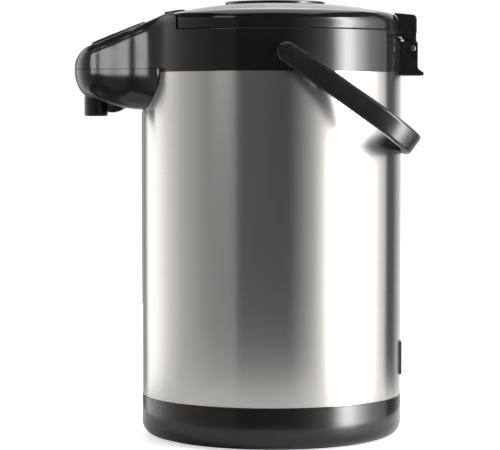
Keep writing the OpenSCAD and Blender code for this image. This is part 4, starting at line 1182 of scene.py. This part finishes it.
@dataclass
class Bail:
    """The U-shaped carrying handle and its studs."""

    pivot_y: float = 10.9
    pivot_z: float = 308.3
    drop: float = 35.5
    outer_w: float = 118
    inner_w: float = 107
    reach: float = 126.2
    inner_reach: float = 116.5
    outer_r: float = 42
    inner_r: float = 34
    bow_r: float = 1185
    hub_r: float = 8
    edge_r: float = 1.5
    face_r: float = 3

    def build(self) -> None:
        """Builds the handle and the studs that it turns on."""
        self.handle()
        self.studs()

    def pivot_rod(self, radius: float, near: float, far: float) -> Shape:
        """A rod on the handle's axis between two places along X."""
        return Shape.rod(radius, (near, self.pivot_y, self.pivot_z), (far, self.pivot_y, self.pivot_z))

    def plan(self) -> list[tuple[Point, Point]]:
        """Inner and outer points of the U, as (x, reach), from one end to the other."""
        ends = [-(self.hub_r - 0.02) * math.cos(a) for a in spread(0.03, math.pi / 2, 12)]
        ox = self.outer_w - self.outer_r
        oy = self.reach - self.bow_r + math.sqrt((self.bow_r - self.outer_r) ** 2 - ox**2)
        ix, iy = self.inner_w - self.inner_r, self.inner_reach - self.inner_r
        right = [((self.inner_w, s), (self.outer_w, s)) for s in ends + spread(4, oy, 16)]
        end_angle = math.atan2(oy - self.reach + self.bow_r, ox)
        for k in range(1, 23):
            a, b = math.pi / 2 * k / 22, end_angle * k / 22
            inner = (ix + self.inner_r * math.cos(a), iy + self.inner_r * math.sin(a))
            right.append((inner, (ox + self.outer_r * math.cos(b), oy + self.outer_r * math.sin(b))))
        end_x = right[-1][1][0]
        for k in range(1, 9):
            x = end_x * (1 - k / 8)
            bow = self.reach - self.bow_r + math.sqrt(self.bow_r**2 - x * x)
            right.append(((ix * (1 - k / 8), self.inner_reach), (x, bow)))
        left = [((-x, y), (-far_x, far_y)) for (x, y), (far_x, far_y) in reversed(right[:-1])]
        return right + left

    def height(self, s: float) -> Point:
        """Lowest and highest reach of the arm at a distance from the pivot, round at the hub."""
        hub = math.sqrt(max(0.0, self.hub_r**2 - s * s))
        if s < 0:
            return -hub, hub
        under = ((0, -7.7), (92, -7.7), (116, -8.9), (124.6, -9.2), (126.3, -7.8))
        over = ((0, 8), (12, 8.6), (45, 9.3), (100, 9.1), (123.4, 8.2), (126.3, 5.6))
        return min(-hub, self.along(under, s)), max(hub, self.along(over, s))

    def along(self, line: Sequence[Point], s: float) -> float:
        """Height of a line of points at a distance from the pivot."""
        for (s0, z0), (s1, z1) in zip(line, line[1:]):
            if s <= s1:
                return z0 + (z1 - z0) * (s - s0) / (s1 - s0)
        return line[-1][1]

    def handle(self) -> None:
        """Lofts a rounded section along the U, and hollows its grip where it lies round the jacket."""
        plan = self.plan()
        sections = []
        for (ix, iy), (ox, oy) in plan:
            depth = math.hypot(ox - ix, oy - iy)
            low, high = self.height((iy + oy) / 2)
            tall = max(high - low, 0.05)
            r, outer = min(self.edge_r, tall * 0.45), min(self.face_r, tall * 0.4)
            near, middle = depth * 0.3, depth * 0.5
            corners = [
                (0, 0, r), (near, 0, 0), (middle, 0, 0), (depth, 0, outer), (depth, tall, outer),
                (middle, tall, 0), (near, tall, 0), (0, tall, r),
            ]
            sections.append([(q / depth, t / tall) for q, t in rounded(corners, 5)])

        def place(i: int, k: int) -> Vector:
            (ix, iy), (ox, oy) = plan[i]
            u, v = sections[i][k]
            s = iy + (oy - iy) * u
            low, high = self.height(s)
            return Vector((ix + (ox - ix) * u, s, low + (high - low) * v))

        bail = Shape.loft(len(plan), len(sections[0]), place)
        for side in (-1, 1):
            bail.cut(Shape.rod(5.06, (side * 100, 0, 0), (side * 115, 0, 0), 64))
        lowered = Matrix.Rotation(math.radians(-self.drop), 4, "X")
        bail.move(Matrix.Translation((0, self.pivot_y, self.pivot_z)) @ lowered)
        bail.cut(Shape.post(105.65, 180, HEAD.shoulder_z, sides=256))
        finish_piece("carry_handle", bail, Body.BAIL, "satin_black", ["bail"], 40, "bail_black")

    def studs(self) -> None:
        """The studs through the ring's wall."""
        studs = Shape()
        for side in (-1, 1):
            tip = self.pivot_rod(5, side * 105.3, side * 114.5).bevel(0.6, 2, SQUARE_EDGES)
            studs.add(self.pivot_rod(6, side * 97.5, side * 105.4), tip)
        finish_piece("bail_axles", studs, Body.POT, "satin_black", ["bail_studs"])


@dataclass
class PotInside:
    """The drawn pot, the ring at its mouth and the bellows, which show when the lid is up."""

    pot_r: float = 88
    floor_z: float = 84
    sheet: float = 0.8
    outlet_y: float = -52
    outlet_r: float = 5.5

    def build(self) -> None:
        """Builds what shows through the mouth."""
        self.pot()
        self.ring()
        self.bellows()

    def pot(self) -> None:
        """The drawn steel pot with its flange and the outlet pipe in its floor."""
        z, rim = self.floor_z, 92
        outside = [(0, z, 0), (self.pot_r, z, 14), (self.pot_r, 303, 0), (rim, 303, 0.2), (rim, 303.8, 0.3)]
        z, inner = self.floor_z + self.sheet, self.pot_r - self.sheet
        inside = [(rim, 303.8, 0), (inner, 303.8, 0.8), (inner, z, 13.2), (0, z, 0)]
        wall = rounded(outside, 12, closed=False) + rounded(inside, 12, closed=False)[1:]
        pot = Shape.revolve(wall, 200, closed=False)
        pot.cut(Shape.post(self.outlet_r, self.floor_z - 3, self.floor_z + 3, y=self.outlet_y))
        pipe = Shape.tube(self.outlet_r, 7, 74, 84.1, 64).shift(0, self.outlet_y)
        finish_piece("drawn_pot", pot.add(pipe), Body.POT, "pot_steel", ["inner_pot"])

    def ring(self) -> None:
        """The moulded ring round the mouth, which guides the water back when it is poured."""
        section = rounded(
            [(86.5, 306.8, 0), (92, 306.8, 0.2), (92, 319.4, 0.6), (76, 319.4, 1.2), (76, 316.5, 1),
             (84, 313, 2)], 5,
        )
        finish_piece("pour_ring", Shape.revolve(section, 200), Body.POT, "charcoal", ["mouth_ring"])

    def bellows(self) -> None:
        """The rubber bellows of the hand pump, under the push plate."""
        inner_folds = [(24.6 if k % 2 else 29.2, 318 + 23 * k / 12) for k in range(12, -1, -1)]
        outer_folds = [(31 if k % 2 == 0 else 26.6, 318 + 23 * k / 12, 0.5) for k in range(13)]
        section = [(24, 317), (31, 317)] + rounded(outer_folds, 3, closed=False)
        section += [(31, 342), (24, 342)] + inner_folds
        skin = Shape.revolve(section, 96).shift(0, Lid.plate_y)
        finish_piece("pump_bellows", skin, Body.LID, "rubber", ["bellows"])


def dress_nodes() -> None:
    """Gives every node that stays in view the finish of its slot in the record."""
    slots = {part["node"]: part["material_slot"] for part in frame["record"]["subparts"]}
    for name, node in frame["nodes"].items():
        node.data.materials.clear()
        node.data.materials.append(PALETTE[slots[name]])
    LOG.info("dressed %d nodes", len(slots))


# ---------------------------------------------------------------------------------------------
# Studio
# ---------------------------------------------------------------------------------------------


@dataclass
class Studio:
    """Camera, floor, light panels and lamps. Lengths are in metres here."""

    camera_at: tuple[float, float, float] = (1.84, -0.0175, 0.262)
    pitch: float = 2.84
    lens: float = 162.7
    wall_r: float = 1.25
    wall_low: float = -1.0
    wall_high: float = 1.1
    wall_strength: float = 20
    floor_r: float = 6
    glare_r: float = 0.245

    def build(self) -> None:
        """Sets up the studio."""
        self.camera()
        self.world()
        self.floor()
        self.light_wall()
        self.lamp("top_light", (-0.25, 0.0, 1.5), (0, 0, 0.3), 1.3, 10)
        self.lamp("front_left", (0.9, -1.0, 1.25), (0, -0.05, 0.3), 0.5, 2)
        self.lamp("back_light", (-1.15, 0.0, 1.0), (0, 0, 0.35), 1.1, 6)

    def camera(self) -> None:
        """The camera of the photograph: a long lens beside the pot, tilted down a little, with no shift."""
        data = bpy.data.cameras.new("camera")
        data.lens, data.sensor_width, data.clip_start, data.clip_end = self.lens, 36, 0.05, 40
        camera = placed("camera", data)
        camera.location = self.camera_at
        camera.rotation_euler = (math.radians(90 - self.pitch), 0, math.radians(90))
        bpy.context.scene.camera = camera

    def world(self) -> None:
        """White for the camera, a plain grey for the light that it gives."""
        world = bpy.data.worlds.new("studio")
        bpy.context.scene.world = world
        world.use_nodes = True
        tree = world.node_tree
        back = tree.nodes["Background"]
        path = tree.nodes.new("ShaderNodeLightPath")
        seen = math_node(tree, "MAXIMUM", path.outputs["Is Camera Ray"], path.outputs["Is Transmission Ray"])
        tree.links.new(range_node(tree, seen, 0, 1, 0.1, 1.0), back.inputs["Strength"])
        back.inputs["Color"].default_value = (1, 1, 1, 1)

    def floor(self) -> None:
        """A pale floor that keeps the pot's shadow and runs out into the white."""
        bm = bmesh.new()
        bmesh.ops.create_circle(bm, cap_ends=True, segments=96, radius=self.floor_r)
        mesh = bpy.data.meshes.new("floor")
        bm.to_mesh(mesh)
        bm.free()
        sheet = NodeSheet("floor")
        sheet.set(Base_Color=(0.82, 0.82, 0.82, 1), Roughness=0.6, Emission_Color=(1, 1, 1, 1))
        tree = sheet.tree
        path = tree.nodes.new("ShaderNodeLightPath").outputs
        away = tree.nodes.new("ShaderNodeVectorMath")
        away.operation = "LENGTH"
        tree.links.new(sheet.place, away.inputs[0])
        distance = away.outputs["Value"]
        fade = range_node(tree, distance, 0.12, 0.5, 0.62, 1.0)
        sheet.feed("Emission Strength", math_node(tree, "MULTIPLY", path["Is Camera Ray"], fade))
        # Beyond the glare's reach the floor is not mirrored, so that it doesn't whiten the steel
        beyond = math_node(tree, "GREATER_THAN", distance, self.glare_r)
        gone = math_node(tree, "MULTIPLY", path["Is Glossy Ray"], beyond)
        mixed = tree.nodes.new("ShaderNodeMixShader")
        clear = tree.nodes.new("ShaderNodeBsdfTransparent")
        for socket, value in zip(mixed.inputs, (gone, sheet.shader.outputs[0], clear.outputs[0])):
            tree.links.new(value, socket)
        tree.links.new(mixed.outputs[0], tree.nodes["Material Output"].inputs["Surface"])
        mesh.materials.append(sheet.material)
        placed("floor", mesh)

    def light_wall(self) -> None:
        """A round wall of light cloth with dark gaps, seen only in reflections."""
        bm = bmesh.new()
        verts = [bm.verts.new((self.wall_r, 0, z)) for z in (self.wall_low, self.wall_high)]
        spin(bm, verts + [bm.edges.new(verts)], 180)
        mesh = bpy.data.meshes.new("light_wall")
        bm.to_mesh(mesh)
        bm.free()
        sheet = NodeSheet("light_wall")
        tree = sheet.tree
        parts = tree.nodes.new("ShaderNodeSeparateXYZ")
        tree.links.new(sheet.place, parts.inputs[0])
        angle = math_node(tree, "ARCTAN2", parts.outputs["Y"], parts.outputs["X"])
        turn = range_node(tree, angle, -math.pi, math.pi, 0, 1)
        # The light all round, as (degrees from +X towards +Y, strength)
        tones = [
            (-180, 0.8), (-165, 0.6), (-155, 0.3), (-147, 0.3), (-141, 1.2), (-137, 1.7), (-118, 1.6),
            (-101, 1.0), (-85, 0.64), (-59, 0.38), (-47, 0.3), (-30.5, 0.28), (-29.5, 0.12), (15, 0.1),
            (24, 0.26), (35, 0.56), (46, 1.3), (52, 3), (58, 11), (65, 19), (71, 17), (78, 10), (86, 5.6),
            (93, 2.7), (108, 1.15), (116.5, 0.9), (118.5, 0.12), (134, 0.12), (140, 0.4), (160, 0.9),
        ]
        stops = [((a + 180) / 360, (t / self.wall_strength,) * 3) for a, t in tones]
        light = tree.nodes.new("ShaderNodeEmission")
        light.inputs["Strength"].default_value = self.wall_strength
        tree.links.new(sheet.ramp(turn, stops), light.inputs["Color"])
        tree.links.new(light.outputs[0], tree.nodes["Material Output"].inputs["Surface"])
        mesh.materials.append(sheet.material)
        wall = placed("light_wall", mesh)
        wall.visible_camera = False
        wall.visible_transmission = False
        wall.visible_shadow = False

    def beak_light(self, receivers: Sequence[str]) -> None:
        """A small softbox that gives the beak's side its soft patch of light, and lights nothing else.

        Args:
            receivers: Names of the pieces that it lights.
        """
        lamp = self.lamp("beak_light", (0.58, -0.4, 0.305), (0.047, -0.123, 0.3), 0.34, 2.8)
        chosen = bpy.data.collections.new("lit_by_beak_light")
        for name in receivers:
            chosen.objects.link(bpy.data.objects[name])
        lamp.light_linking.receiver_collection = chosen

    def lamp(
        self, name: str, at: Sequence[float], towards: Sequence[float], size: float, power: float
    ) -> bpy.types.Object:
        """A square softbox lamp.

        Args:
            name: The lamp's name.
            at: Where it stands.
            towards: The point that it faces.
            size: Its side.
            power: Its power in watts.

        Returns:
            The lamp.
        """
        data = bpy.data.lights.new(name, "AREA")
        data.size, data.energy = size, power
        lamp = placed(name, data)
        lamp.location = at
        lamp.visible_camera = False
        lamp.rotation_euler = (Vector(towards) - Vector(at)).to_track_quat("-Z", "Y").to_euler()
        return lamp


def main() -> None:
    """Builds the studio and the pot, part by part."""
    logging.basicConfig(level=logging.INFO, format="%(name)s: %(message)s")
    bpy.context.scene.view_settings.view_transform = "Standard"
    studio = Studio()
    studio.build()
    dress_nodes()
    for part in (Base(), Head(), Hinge(), Lid(), Bail(), PotInside()):
        part.build()
        LOG.info("built %s", type(part).__name__)
    studio.beak_light(("beak_top", "beak_underside"))


if __name__ == "__main__":
    main()
